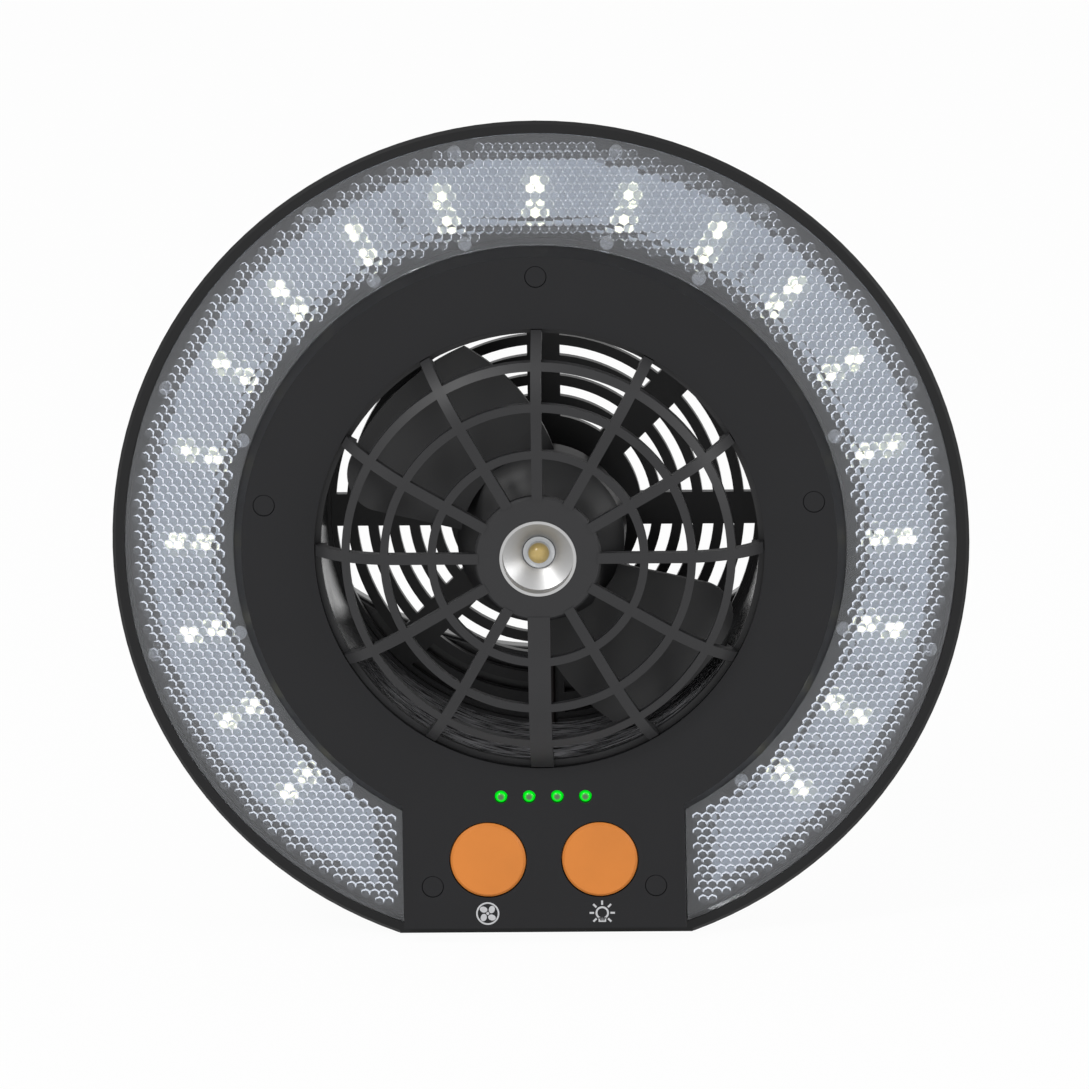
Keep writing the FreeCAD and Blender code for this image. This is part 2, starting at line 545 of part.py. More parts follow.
def screws(label, places, seat_at, length, backwards):
    """Group of pan head screws; the shanks point backwards or forwards."""
    way = 1 if backwards else -1
    group = []
    for x, z in places:
        start = Vector(mm(x), mm(seat_at), mm(z))
        head = Part.makeCylinder(mm("head_r"), mm("head_tall"), start, Vector(0, -way, 0))
        shank = Part.makeCylinder(mm("shank_r"), length, start, Vector(0, way, 0))
        drive = Part.makeBox(mm("head_r"), mm("head_tall"), mm("head_r") / 4,
                             start + Vector(-mm("head_r") / 2, 0, -mm("head_r") / 8))
        drive.translate(Vector(0, -way * mm("head_tall") * (1.5 if backwards else 0.5), 0))
        cross = drive.copy()
        cross.rotate(start, Vector(0, 1, 0), 90)
        group.append(head.fuse(shank).cut(drive).cut(cross))
    return shaped(label, Part.makeCompound(group))


def fasteners():
    panel_reach = mm(TRAY_SET + " + screw_reach - head_seat")
    rear_reach = mm("rear_seat - screw_tip - " + TRAY_BACK)
    screws("panel_screws", PANEL_SCREWS, "head_seat - seat_gap", panel_reach, True)
    screws("rear_screws", REAR_SCREWS, "rear_seat + seat_gap", rear_reach, False)
    group = []
    for x, z in BOARD_POSTS:
        start = Vector(mm(x), mm("control_set - seat_gap"), mm(z))
        head = Part.makeCylinder(mm("head_r") * 0.8, mm("post_head"), start, Vector(0, -1, 0))
        shank = Part.makeCylinder(mm("pilot_r / 2 - seat_gap"), mm("board_wall * 2"), start, Vector(0, 1, 0))
        group.append(head.fuse(shank))
    shaped("board_screws", Part.makeCompound(group))
    plugs = []
    for x, z in PANEL_SCREWS:
        start = Vector(mm(x), mm("plug_set"), mm(z))
        plug = Part.makeCylinder(mm("plug_r"), mm("plug_long"), start, Vector(0, 1, 0))
        rim = [edge for edge in plug.Edges if abs(edge.BoundBox.YMax - start.y) < 0.01]
        plugs.append(plug.makeFillet(mm("plug_edge"), rim))
    shaped("screw_plugs", Part.makeCompound(plugs))


# ring light
def neck_cut(gap, depth):
    """Room that a ring leaves for the neck."""
    return block("2 * (neck_half + %s)" % gap, "board_wall + lens_wall + lens_drop", "2 * rim_r",
                 "-neck_half - " + gap, depth, "-2 * rim_r")


def ring_light():
    out_r = "rim_r - rim_w - lens_gap"
    lens = turned("LensRing", ("lens_step", LENS_IN_R), (RIM_SET, out_r), (RIM_SET + " + lens_wall", out_r),
                  ("lens_step + lens_wall", LENS_IN_R))
    seat("light_lens", without(lens, neck_cut("lens_gap", "lens_step")))
    inside, outside, back = LENS_IN_R + " + board_in", "rim_r - board_out", TRAY_SET + " - seat_gap"
    board = turned("LightRing", ("board_set", inside), ("board_set", outside), (back, outside),
                   (back, inside))
    seat("light_board", without(board, neck_cut("board_inset", "board_set - seat_gap")))
    leds = []
    steps = int(round(mm("led_last_angle / led_angle")))
    for step in range(-steps, steps + 1):
        for side in (-0.5, 0.5):
            low = mm(LENS_IN_R + " + led_in - led_long / 2") + side * mm("led_pitch")
            led = Part.makeBox(mm("led_wide"), mm("led_tall"), mm("led_long"),
                               Vector(-mm("led_wide / 2"), mm("board_set - led_tall - seat_gap"), low))
            led.rotate(Vector(), Vector(0, 1, 0), step * mm("led_angle"))
            leds.append(led)
    shaped("ring_leds", Part.makeCompound(leds))


# front grille and spotlight
def dome_middle():
    """Radius at which the grille's flat front turns into its shoulder."""
    arc, drop = mm("dome_arc"), mm("dome_arc - dome_rise")
    return mm(OPENING_R + " - fit_gap") - math.sqrt(arc * arc - drop * drop)


def dome_profile(inner_r, skin, deep):
    """Outline of the grille's dome in the plane x = 0, from hub to flange, between two depths."""
    drop = mm("dome_arc - dome_rise")
    middle = dome_middle()
    arc, rise, edge = mm("dome_arc") - skin, mm("dome_rise") - skin, mm(OPENING_R + " - fit_gap") - skin
    deep -= skin
    foot = mm(FLANGE_SET + " + flange_wall / 4")

    def place(radius, turn):
        return Vector(0, drop - radius * math.sin(turn), middle + radius * math.cos(turn))

    low = math.asin(drop / arc)
    inner_low = math.asin(drop / (arc - deep))
    half = math.pi / 2
    top, back = Vector(0, -rise, middle), Vector(0, deep - rise, middle)
    edges = [
        Part.makeLine(Vector(0, deep - rise, inner_r), Vector(0, -rise, inner_r)),
        Part.makeLine(Vector(0, -rise, inner_r), top),
        Part.Arc(top, place(arc, (half + low) / 2), place(arc, low)).toShape(),
        Part.makeLine(place(arc, low), Vector(0, foot, edge)),
        Part.makeLine(Vector(0, foot, edge), Vector(0, foot, place(arc - deep, inner_low).z)),
        Part.makeLine(Vector(0, foot, place(arc - deep, inner_low).z), place(arc - deep, inner_low)),
        Part.Arc(place(arc - deep, inner_low), place(arc - deep, (half + inner_low) / 2), back).toShape(),
        Part.makeLine(back, Vector(0, deep - rise, inner_r)),
    ]
    return Part.Face(Part.Wire(edges))


def tube(outer, inner, depth, length):
    """Ring about the fan axis."""
    start = Vector(0, depth, 0)
    way = Vector(0, 1, 0)
    return Part.makeCylinder(outer, length, start, way).cut(Part.makeCylinder(inner, length, start, way))


def front_grille():
    """Domed grille: flange, ribs, rings and the hub that holds the spotlight."""
    profile = dome_profile(mm("hub_r - rib_skin"), 0, mm("rib_deep"))
    skin = profile.revolve(Vector(), Vector(0, 1, 0), 360)
    members = []
    count = int(round(360 / mm("rib_angle")))
    for number in range(count):
        width = mm("lead_rib_w") if number * 2 == count else mm("rib_w")
        rib = profile.extrude(Vector(width, 0, 0))
        rib.translate(Vector(-width / 2, 0, 0))
        rib.rotate(Vector(), Vector(0, 1, 0), number * mm("rib_angle"))
        members.append(rib)
    half = mm("ring_w / 2")
    for radius in (mm(OPENING_R + " - ring_a_in"), mm(OPENING_R + " - ring_b_in"), mm("hub_r + ring_c_out")):
        column = tube(radius + half, radius - half, -2 * mm("dome_rise"), 3 * mm("dome_rise"))
        members.append(skin.common(column))
    members.append(tube(mm(FLANGE_R), mm(DUCT_R), mm(FLANGE_SET), mm("flange_wall")))
    hub = Part.makeCylinder(mm("hub_r"), mm("hub_wall"), Vector(0, -mm("hub_set"), 0), Vector(0, 1, 0))
    face_edges = [edge for edge in hub.Edges if edge.BoundBox.YMax < -mm("hub_set - hub_edge")]
    hub = hub.makeChamfer(mm("hub_edge"), face_edges)
    members += [hub, Part.makeCylinder(mm("barrel_r"), mm("hub_set + barrel_end"),
                                       Vector(0, -mm("hub_set"), 0), Vector(0, 1, 0))]
    grille = members[0].multiFuse(members[1:])
    bore = Part.makeCylinder(mm("cup_r + seat_gap"), mm("2 * hub_set"), Vector(0, -mm("1.5 * hub_set"), 0),
                             Vector(0, 1, 0))
    width = mm("wire_gap + 2.6 * wire_r")
    groove = dome_profile(mm("hub_r + 1"), mm("rib_skin"), mm("2 * rib_deep")).extrude(Vector(width, 0, 0))
    groove.translate(Vector(-width / 2, 0, 0))
    groove.rotate(Vector(), Vector(0, 1, 0), 180)
    notch = Part.makeBox(width, mm("flange_wall + fit_gap"), mm("flange_w + ring_a_in"),
                         Vector(-width / 2, mm(FLANGE_SET), -mm(FLANGE_R + " + loose_gap")))
    slot = Part.makeBox(width, mm("hub_set"), mm("barrel_r - cup_r + 2"),
                        Vector(-width / 2, mm(STAR_SET + " - 2.4 * wire_r"), -mm("barrel_r + 1")))
    shaped("front_grille", grille.cut(bore).cut(groove).cut(notch).cut(slot))


def spotlight():
    cup_in = "cup_r - cup_wall"
    front = "-hub_set - cup_proud"
    straight = "cup_deep - hub_set"
    cup = turned("Cup", (front, "cup_r"), (front, cup_in), (straight, cup_in),
                 (CUP_END, "cup_hole_r"), (CUP_END, "cup_hole_r + 2 * cup_wall"),
                 (straight + " + 0.8 * cup_wall", "cup_r"))
    seat("spot_reflector", cup)
    bead = turned("Bead", (CUP_END, "0"), (CUP_END, "bead_r"), (STAR_SET + " - seat_gap", "bead_r"),
                  (STAR_SET + " - seat_gap", "0"))
    dome = doc.addObject("Part::Sphere", "BeadDome")
    bind(dome, Radius="bead_dome_r", depth=CUP_END)
    front_half = block("4 * bead_r", "2 * bead_r", "4 * bead_r", "-2 * bead_r",
                       CUP_END + " + 0.2 - 2 * bead_r", "-2 * bead_r")
    seat("spot_led", fused(bead, shared(dome, front_half)))
    seat("spot_board", bar("cup_r - seat_gap", "star_wall", "0", STAR_SET, "0"))
    cap = turned("Cap", (STAR_SET + " + star_wall + seat_gap", "0"),
                 (STAR_SET + " + star_wall + seat_gap", "cup_r - seat_gap"),
                 ("barrel_end + seat_gap", "cup_r - seat_gap"), ("barrel_end + seat_gap", "barrel_r"),
                 ("barrel_end + cap_wall", "barrel_r"), ("barrel_end + cap_wall", "0"))
    seat("hub_cap", cap)


# fan
def fan_duct():
    back, outside = GRILLE_SET + " - 2 * seat_gap - flange_wall", DUCT_R + " + duct_wall"
    duct = turned("Duct", (DUCT_SET, DUCT_R), (back, DUCT_R), (back, outside), (DUCT_SET, outside))
    seat("fan_duct", duct)


def rear_grille():
    """Slotted disc with the motor's seat in front of it and a flange that the duct clamps."""
    way = Vector(0, 1, 0)
    start = mm(GRILLE_SET)
    disc = Part.makeCylinder(mm(HOLE_R), mm("grille_wall"), Vector(0, start, 0), way)
    slots = []
    radius = mm("slot_r")
    while radius < mm(HOLE_R + " - clamp_in"):
        slots.append(tube(radius, radius - mm("slot_w"), start - 1, mm("grille_wall") + 2))
        radius += mm("slot_pitch")
    tool = slots[0].multiFuse(slots[1:])
    bars = []
    for number in range(int(round(180 / mm("strut_angle")))):
        strut = Part.makeBox(4 * mm(DUCT_R), 3 * mm("grille_wall"), mm("strut_w"),
                             Vector(-2 * mm(DUCT_R), start - mm("grille_wall"), -mm("strut_w") / 2))
        strut.rotate(Vector(), way, number * mm("strut_angle"))
        bars.append(strut)
    disc = disc.cut(tool.cut(bars[0].multiFuse(bars[1:])))
    inside, into = mm(DUCT_R + " - clamp_in"), mm("grille_wall / 5")
    flange = tube(mm(DUCT_R + " + duct_wall + clamp_w"), inside, start - mm("flange_wall + seat_gap"),
                  mm("flange_wall"))
    web = tube(mm(HOLE_R), inside, start - mm("flange_wall"), mm("flange_wall") + into)
    cup = tube(mm("motor_r + seat_gap + seat_wall"), mm("motor_r + seat_gap"), start - mm("seat_long"),
               mm("seat_long") + into)
    grille = disc.multiFuse([flange, web, cup])
    room = Part.makeBox(mm("wire_gap + 4 * wire_r"), mm("4 * wire_r"), mm(DUCT_R),
                        Vector(-mm("wire_gap + 4 * wire_r") / 2, start - mm("4 * wire_r"),
                               -mm(DUCT_R + " + motor_r")))
    shaped("rear_grille", grille.cut(room))


def blade():
    """One blade: a twisted plate cut to the blade's outline."""
    def polar(radius, degrees, depth=0.0):
        turn = math.radians(degrees)
        return Vector(radius * math.cos(turn), depth, radius * math.sin(turn))

    root, tip = mm("rotor_hub_r - rotor_wall / 2"), mm(ROTOR_R)
    rear_root, rear_tip = mm("blade_rear_root_angle"), mm("blade_rear_tip_angle")
    front_root, front_tip = mm("blade_front_root_angle"), mm("blade_front_tip_angle")
    middle = (root + tip) / 2
    corner = front_tip + 0.7 * (front_root - front_tip)
    outline = Part.Wire([
        Part.Arc(polar(root, rear_root), polar(middle, (rear_root + rear_tip) / 2 + mm("blade_bow_angle")),
                 polar(tip, rear_tip)).toShape(),
        Part.Arc(polar(tip, rear_tip), polar(tip, (rear_tip + front_tip) / 2),
                 polar(tip, front_tip)).toShape(),
        Part.Arc(polar(tip, front_tip), polar(0.94 * tip, corner), polar(0.82 * tip, front_root)).toShape(),
        Part.makeLine(polar(0.82 * tip, front_root), polar(root, front_root)),
        Part.makeLine(polar(root, front_root), polar(root, rear_root)),
    ])
    prism = Part.Face(outline).extrude(Vector(0, 2 * mm("body_depth"), 0))
    prism.translate(Vector(0, -mm("body_depth"), 0))
    sections = []
    heading = (rear_root + front_root) / 2
    out, along = polar(1, heading), polar(1, heading + 90)
    for reach in (0.2 * tip, 0.45 * tip, 0.7 * tip, 1.05 * tip):
        half = 1.05 * reach + mm("2.5 * blade_wall")
        rise = -mm("blade_twist") / reach * half
        corners = []
        for side, lift in ((-1, -1), (1, -1), (1, 1), (-1, 1)):
            depth = mm("blade_mid") + side * rise + lift * mm("blade_wall / 2")
            corners.append(out * reach + along * (side * half) + Vector(0, depth, 0))
        sections.append(Part.makePolygon(corners + corners[:1]))
    plate = Part.makeLoft(sections, True, True)
    return plate.common(prism)


def fan_rotor():
    """Domed hub with its boss, and two broad blades."""
    way = Vector(0, 1, 0)
    radius, wall = mm("rotor_hub_r"), mm("rotor_wall")
    set_at, dome, end = mm("rotor_hub_set"), mm("rotor_dome"), mm("rotor_hub_end")

    def cup(radius, front, end):
        mid = Vector(0, front + dome * 0.2, radius * 0.62)
        wire = Part.Wire([
            Part.Arc(Vector(0, front, 0), mid, Vector(0, front + dome, radius)).toShape(),
            Part.makeLine(Vector(0, front + dome, radius), Vector(0, end, radius)),
            Part.makeLine(Vector(0, end, radius), Vector(0, end, 0)),
            Part.makeLine(Vector(0, end, 0), Vector(0, front, 0)),
        ])
        return Part.Face(wire).revolve(Vector(), way, 360)

    solid = cup(radius, set_at, end)
    hollow = cup(radius - wall, set_at + wall, end + 1)
    boss = Part.makeCylinder(mm("rotor_boss_r"), mm("rotor_boss_end") - set_at - wall / 2,
                             Vector(0, set_at + wall / 2, 0), way)
    blades = [blade()]
    blades.append(blades[0].copy())
    blades[1].rotate(Vector(), way, 180)
    bore = Part.makeCylinder(mm("shaft_r"), mm("body_depth"), Vector(0, set_at + 2 * wall, 0), way)
    hub = solid.cut(hollow)
    outer = [item.cut(Part.makeCylinder(radius - wall / 2, mm("body_depth"), Vector(0, 0, 0), way))
             for item in blades]
    shaped("fan_rotor", hub.multiFuse([boss] + outer).cut(bore))


def motor():
    can = turned("Can", ("motor_set", "bush_r + seat_gap"), ("motor_set", "motor_r"), (CAN_END, "motor_r"),
                 (CAN_END, "motor_r - can_wall"), ("motor_set + can_wall", "motor_r - can_wall"),
                 ("motor_set + can_wall", "bush_r + seat_gap"))
    seat("motor_can", can)
    back = CAN_END + " + end_cap_wall"
    front = CAN_END + " + seat_gap"
    end_cap = turned("EndCap", (front, "bush_r + seat_gap"), (front, "motor_r"),
                     (back, "motor_r"), (back, "0"), (back + " - end_cap_skin", "0"),
                     (back + " - end_cap_skin", "bush_r + seat_gap"))
    seat("motor_end_cap", end_cap)
    end = "armature_set + " + ARMATURE_LONG
    seat("motor_magnets", turned(
        "Magnets", ("armature_set - magnet_over", "magnet_in_r"),
        ("armature_set - magnet_over", "motor_r - can_wall - seat_gap"),
        (end + " + magnet_over", "motor_r - can_wall - seat_gap"), (end + " + magnet_over", "magnet_in_r")))
    bushes = [turned("Bush", (start, "shaft_r + shaft_gap"), (start, "bush_r"),
                     (start + " + bush_long", "bush_r"), (start + " + bush_long", "shaft_r + shaft_gap"))
              for start in ("motor_set", CAN_END + " + 2 * seat_gap")]
    seat("motor_bushes", fused(*bushes))
    core = turned("Core", ("armature_set", "shaft_r"), ("armature_set", "armature_r"),
                  (end, "armature_r"), (end, "bush_r"), (end + " + commutator_long", "bush_r"),
                  (end + " + commutator_long", "shaft_r"))
    grooves = []
    for turn in (0, 120, 240):
        groove = block("pole_gap", ARMATURE_LONG + " + 2 * loose_gap", "armature_r", "-pole_gap / 2",
                       "armature_set - loose_gap", "shaft_r + pole_root")
        holder = doc.addObject("Part::Compound", "Turned")
        holder.Links = [groove]
        holder.Placement = FreeCAD.Placement(Vector(), Rotation(Vector(0, 1, 0), turn))
        grooves.append(holder)
    seat("motor_armature", without(core, *grooves))
    seat("motor_shaft", bar("shaft_r", back + " - 2 * end_cap_skin - rotor_boss_end + shaft_in", "0",
                            "rotor_boss_end - shaft_in", "0"))


# power and controls
def batteries():
    cells = [(CELL_A_SET, CELL_A_Z), (CELL_B_SET, CELL_B_Z)]
    seat("battery_cells", fused(*[cross_bar("cell_r", "cell_long", "-cell_long / 2", depth, z)
                                  for depth, z in cells]))
    plates = []
    low = BASE_Z + " + shell_wall + loose_gap"
    for x in ("-saddle_x", "saddle_x"):
        plates.append(block("saddle_wall", "%s - %s - 2 * loose_gap" % (GRILLE_SET, TRAY_BACK),
                            "-(%s) - %s - duct_wall - loose_gap" % (low, DUCT_R), x + " - saddle_wall / 2",
                            TRAY_BACK + " + loose_gap", low))
    room = [cross_bar("cell_r + seat_gap", "2 * cell_long", "-cell_long", depth, z) for depth, z in cells]
    seat("battery_saddles", without(fused(*plates), *room))
    tabs = [block("tab_wall", "%s - %s + 2 * tab_reach" % (CELL_B_SET, CELL_A_SET),
                  "%s - %s + 2 * tab_reach" % (CELL_A_Z, CELL_B_Z), x, CELL_A_SET + " - tab_reach",
                  CELL_B_Z + " - tab_reach") for x in ("cell_long / 2", "-cell_long / 2 - tab_wall")]
    seat("battery_tabs", fused(*tabs))


def controls():
    board = block("2 * " + CONTROL_HALF, "board_wall", "%s - %s" % (CONTROL_TOP, CONTROL_LOW),
                  "-" + CONTROL_HALF, "control_set", CONTROL_LOW)
    holes = [bar("boss_r + fit_gap", "2 * board_wall", x, "control_set - board_wall / 2", z)
             for x, z in PANEL_SCREWS[3:]]
    holes += [bar("pilot_r / 2", "2 * board_wall", x, "control_set - board_wall / 2", z)
             for x, z in BOARD_POSTS]
    seat("control_board", without(board, *holes))
    switches, wells = [], []
    top = "control_set - switch_tall - seat_gap"
    for name, x in BUTTONS:
        switches.append(block("switch_side", "switch_tall", "switch_side", x + " - switch_side / 2", top,
                              BUTTON_Z + " - switch_side / 2"))
        wells.append(bar("plunger_r + 2 * seat_gap", "plunger_deep + 2 * button_travel", x, top, BUTTON_Z))
    seat("tact_switches", without(fused(*switches), *wells))
    rest = "panel_wall + fit_gap + button_lip"
    for name, x in BUTTONS:
        cap = turned(name.title() + "Cap", ("-button_proud", "0"),
                     ("-button_proud", "button_r - button_round"),
                     ("button_round - button_proud", "button_r"), ("panel_wall + fit_gap", "button_r"),
                     ("panel_wall + fit_gap", "button_r + button_lip"),
                     (rest, "button_r + button_lip"), (rest, "0"))
        cap.Label = name + "_button"
        bind(cap, x=x, depth="-face_front", z="button_up")
        pieces.append(cap)
        seat(name + "_plunger", bar("plunger_r", top + " + plunger_deep - (%s)" % rest, x, rest, BUTTON_Z))
    lamps = []
    for place in (-1.5, -0.5, 0.5, 1.5):
        start = Vector(place * mm("lamp_pitch"), mm("lamp_r - lamp_proud"), mm(LAMP_Z))
        way = Vector(0, 1, 0)
        foot = mm("control_set - seat_gap - collar_long")
        stem = Part.makeCylinder(mm("lamp_r"), foot - start.y, start, way)
        collar = Part.makeCylinder(mm("lamp_r + lamp_collar"), mm("collar_long"),
                                   Vector(start.x, foot, start.z), way)
        lamps.append(stem.multiFuse([collar, Part.makeSphere(mm("lamp_r"), start)]))
    shaped("indicator_leds", Part.makeCompound(lamps))


def charging():
    """Power board, charging socket and the hinged cover of the port."""
    low = PORT_Z + " - port_tall / 2"
    front = "body_depth - port_set - port_long"
    board = block("power_long", "power_wide", "power_wall", "port_x + power_beside - power_long",
                  "body_depth - shell_wall - loose_gap - power_wide", low + " - power_wall - seat_gap")
    seat("power_board", board)
    shell = block("port_w", "port_long", "port_tall", "port_x - port_w / 2", front, low)
    mouth = block("port_w - 2 * port_wall", "port_long", "port_tall - 2 * port_wall",
                  "port_x - port_w / 2 + port_wall", front + " + 3 * port_wall", low + " + port_wall")
    tongue = block("port_w - 8 * port_wall", "port_long - 6 * port_wall", "tongue_wall",
                   "port_x - port_w / 2 + 4 * port_wall", front + " + 2 * port_wall",
                   PORT_Z + " - tongue_wall / 2")
    seat("charge_socket", fused(without(shell, mouth), tongue))
    left = "port_x - cover_w / 2"
    cover_low = PORT_Z + " - cover_tall / 2"
    pin_z = PORT_Z + " + cover_tall / 2 - cover_wall / 2"
    middle = COVER_SET + " + cover_wall / 2"
    plate = block("cover_w", "cover_wall", "cover_tall - cover_wall", left, COVER_SET, cover_low)
    knuckle = cross_bar("cover_wall / 2", "cover_w", left, middle, pin_z)
    leaf = block("cover_w", "cover_wall", "cover_wall", left, COVER_SET, pin_z + " - cover_wall")
    bore = cross_bar("cover_pin_r + pin_gap", "2 * cover_w", "port_x - cover_w", middle, pin_z)
    nail = block("nail_w", "nail_side", "nail_side", "port_x - nail_w / 2",
                 COVER_SET + " + cover_wall - cover_proud", cover_low)
    seat("port_cover", without(fused(plate, leaf, knuckle, nail), bore))
    seat("port_pin", cross_bar("cover_pin_r", "cover_w + 2 * pin_reach", left + " - pin_reach", middle,
                               pin_z))


# handle
def handle():
    """Folded bail with a broad bowed grip; its arms turn on two headed pins in the ears."""
    bow = "(%s + bail_grip)" % BAIL_IN_R
    side = "(%s + bail_arm)" % BAIL_HALF
    outer = shared(bar(bow, "bail_wall", "0", BAIL_SET, BAIL_Z),
                   block("2 * " + side, "bail_wall", bow, "-" + side, BAIL_SET, "%s - %s" % (BAIL_Z, bow)))
    inner = shared(bar(BAIL_IN_R, "3 * bail_wall", "0", BAIL_SET + " - bail_wall", BAIL_Z),
                   block("2 * " + BAIL_HALF, "3 * bail_wall", "2 * " + BAIL_IN_R, "-" + BAIL_HALF,
                         BAIL_SET + " - bail_wall", "%s - %s" % (BAIL_Z, BAIL_IN_R)))
    below = mm(BAIL_Z) - 1
    corners = rounded("RoundCorners", without(outer, inner), mm("bail_arm"),
                      lambda edge: edge.BoundBox.YLength > 1 and edge.BoundBox.ZMax < below)
    bow_shape = rounded("RoundBail", corners, mm("bail_round"),
                        lambda edge: edge.BoundBox.YLength < 0.01 and edge.BoundBox.ZMin < below)
    ends, bores = [], []
    for left in ("-" + side, BAIL_HALF):
        ends.append(cross_bar("knuckle_r", "bail_arm", left, PIVOT_SET, BAIL_Z))
        bores.append(cross_bar("pin_r + pin_gap", "2 * bail_arm", left + " - bail_arm / 2", PIVOT_SET,
                               BAIL_Z))
    seat("handle_bail", without(fused(bow_shape, *ends), *bores))
    start = "(%s - ear_gap - ear_wall + loose_gap)" % BAIL_HALF
    end = "(%s + fit_gap)" % side
    pins = []
    for stem, head in ((start, end), ("-" + end, "-%s - pin_head" % end)):
        pins.append(cross_bar("pin_r", "%s - %s" % (end, start), stem, PIVOT_SET, BAIL_Z))
        pins.append(cross_bar("pin_head_r", "pin_head", head, PIVOT_SET, BAIL_Z))
    seat("handle_pins", fused(*pins))


# wires
def wire(points, bends, radius):
    """Round wire along straight runs, with an arc of the given radius at each corner."""
    edges = []
    here = points[0]
    for before, corner, after, bend in zip(points, points[1:], points[2:], bends):
        back, on = (before - corner).normalize(), (after - corner).normalize()
        half = back.getAngle(on) / 2
        start = corner + back * (bend / math.tan(half))
        end = corner + on * (bend / math.tan(half))
        middle = corner + (back + on).normalize() * (bend / math.sin(half) - bend)
        edges += [Part.makeLine(here, start), Part.Arc(start, middle, end).toShape()]
        here = end
    edges.append(Part.makeLine(here, points[-1]))
    section = Part.Wire([Part.makeCircle(radius, points[0], points[1] - points[0])])
    return Part.Wire(edges).makePipeShell([section], True, False)


def wiring():
    """Pairs of wires: down the rear grille to the motor, and along the groove of the lowest rib."""
    radius, gap = mm("wire_r"), mm("2 * seat_gap")
    pair = [-mm("wire_gap") / 2, mm("wire_gap") / 2]
    depth = mm(GRILLE_SET) - radius - gap
    end_z = mm(PORT_Z + " - port_tall / 2 - seat_gap")
    shaped("motor_leads", Part.makeCompound(
        [Part.makeCylinder(radius, -end_z - mm("motor_r") - gap, Vector(x, depth, end_z), Vector(0, 0, 1))
         for x in pair]))
    low = mm(STAR_SET) - radius - gap
    arc = mm("dome_arc - rib_skin") - gap - radius
    front = mm("dome_arc - dome_rise") - arc
    turn = math.radians(mm("lead_angle"))
    run = arc * math.tan(turn / 2)
    elbow = dome_middle() + run
    bend = mm("wire_bend")
    slant = run + bend * math.tan((math.pi / 2 - turn) / 2) + gap
    leg = elbow + slant * math.cos(turn)
    foot = mm(FLANGE_SET + " + flange_wall / 2")
    board = -mm(CONTROL_TOP) + 1.7 * mm("wire_gap")
    leads = []
    for x in pair:
        corners = [(low, mm("cup_r - 4 * wire_r")), (low, mm("barrel_r + 3 * wire_r")),
                   (front, mm("hub_r + 1.2 * wire_bend")), (front, elbow),
                   (front + slant * math.sin(turn), leg), (foot, leg), (foot, board),
                   (mm("control_set - seat_gap"), board)]
        points = [Vector(x, depth_at, -radius_at) for depth_at, radius_at in corners]
        leads.append(wire(points, [bend / 2, bend, arc, bend, bend / 2, bend / 2], radius))
    shaped("spot_leads", Part.makeCompound(leads))


def main():
    front_housing()
    rear_housing()
    base_pads()
    front_panel()
    fasteners()
    ring_light()
    front_grille()
    spotlight()
    fan_duct()
    rear_grille()
    fan_rotor()
    motor()
    batteries()
    controls()
    charging()
    handle()
    wiring()
    doc.recompute()
    for obj in doc.Objects:
        if "Invalid" in obj.State or "Error" in obj.State:
            raise RuntimeError("%s failed: %s" % (obj.Name, obj.State))
    for obj in pieces:
        if obj.Shape.isNull() or not obj.Shape.isValid() or not obj.Shape.Solids:
            raise RuntimeError("%s has no sound shape" % obj.Label)
    os.makedirs("parts", exist_ok=True)
    for obj in pieces:
        obj.Shape.exportStep("parts/%s.step" % obj.Label)
        print("%-16s %2d solids %10.1f mm3" % (obj.Label, len(obj.Shape.Solids), obj.Shape.Volume))


main()
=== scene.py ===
"""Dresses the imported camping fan: finishes for its moulded, metal and glowing pieces, the lenslets and
pegs of the ring light, the parts on its board, the printed signs, and a plain studio."""

import math

import bmesh
import bpy
from bpy.props import FloatProperty, FloatVectorProperty, IntProperty, PointerProperty
from mathutils import Matrix, Vector


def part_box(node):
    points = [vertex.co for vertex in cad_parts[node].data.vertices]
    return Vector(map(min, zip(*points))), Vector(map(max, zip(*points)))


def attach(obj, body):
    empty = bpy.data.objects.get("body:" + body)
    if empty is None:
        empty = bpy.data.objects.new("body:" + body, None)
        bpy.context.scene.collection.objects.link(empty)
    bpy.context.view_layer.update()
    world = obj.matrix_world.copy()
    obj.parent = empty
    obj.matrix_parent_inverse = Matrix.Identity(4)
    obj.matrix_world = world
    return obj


bl_info = {
    "name": "Camping fan",
    "version": (1, 0, 0),
    "blender": (4, 5, 0),
    "location": "3D View > Sidebar > Camping fan",
    "description": "Finishes and small parts of a camping fan with a ring light",
    "category": "Object",
}

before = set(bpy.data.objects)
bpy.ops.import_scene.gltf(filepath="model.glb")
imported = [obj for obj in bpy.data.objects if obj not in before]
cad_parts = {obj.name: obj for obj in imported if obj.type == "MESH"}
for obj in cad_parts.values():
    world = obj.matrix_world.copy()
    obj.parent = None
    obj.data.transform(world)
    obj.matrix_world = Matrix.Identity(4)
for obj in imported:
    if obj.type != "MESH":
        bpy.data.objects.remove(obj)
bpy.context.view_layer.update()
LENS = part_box("light_lens")
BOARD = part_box("light_board")
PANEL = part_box("front_panel")
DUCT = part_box("fan_duct")
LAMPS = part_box("indicator_leds")
AXIS_Z = (DUCT[0][2] + DUCT[1][2]) / 2
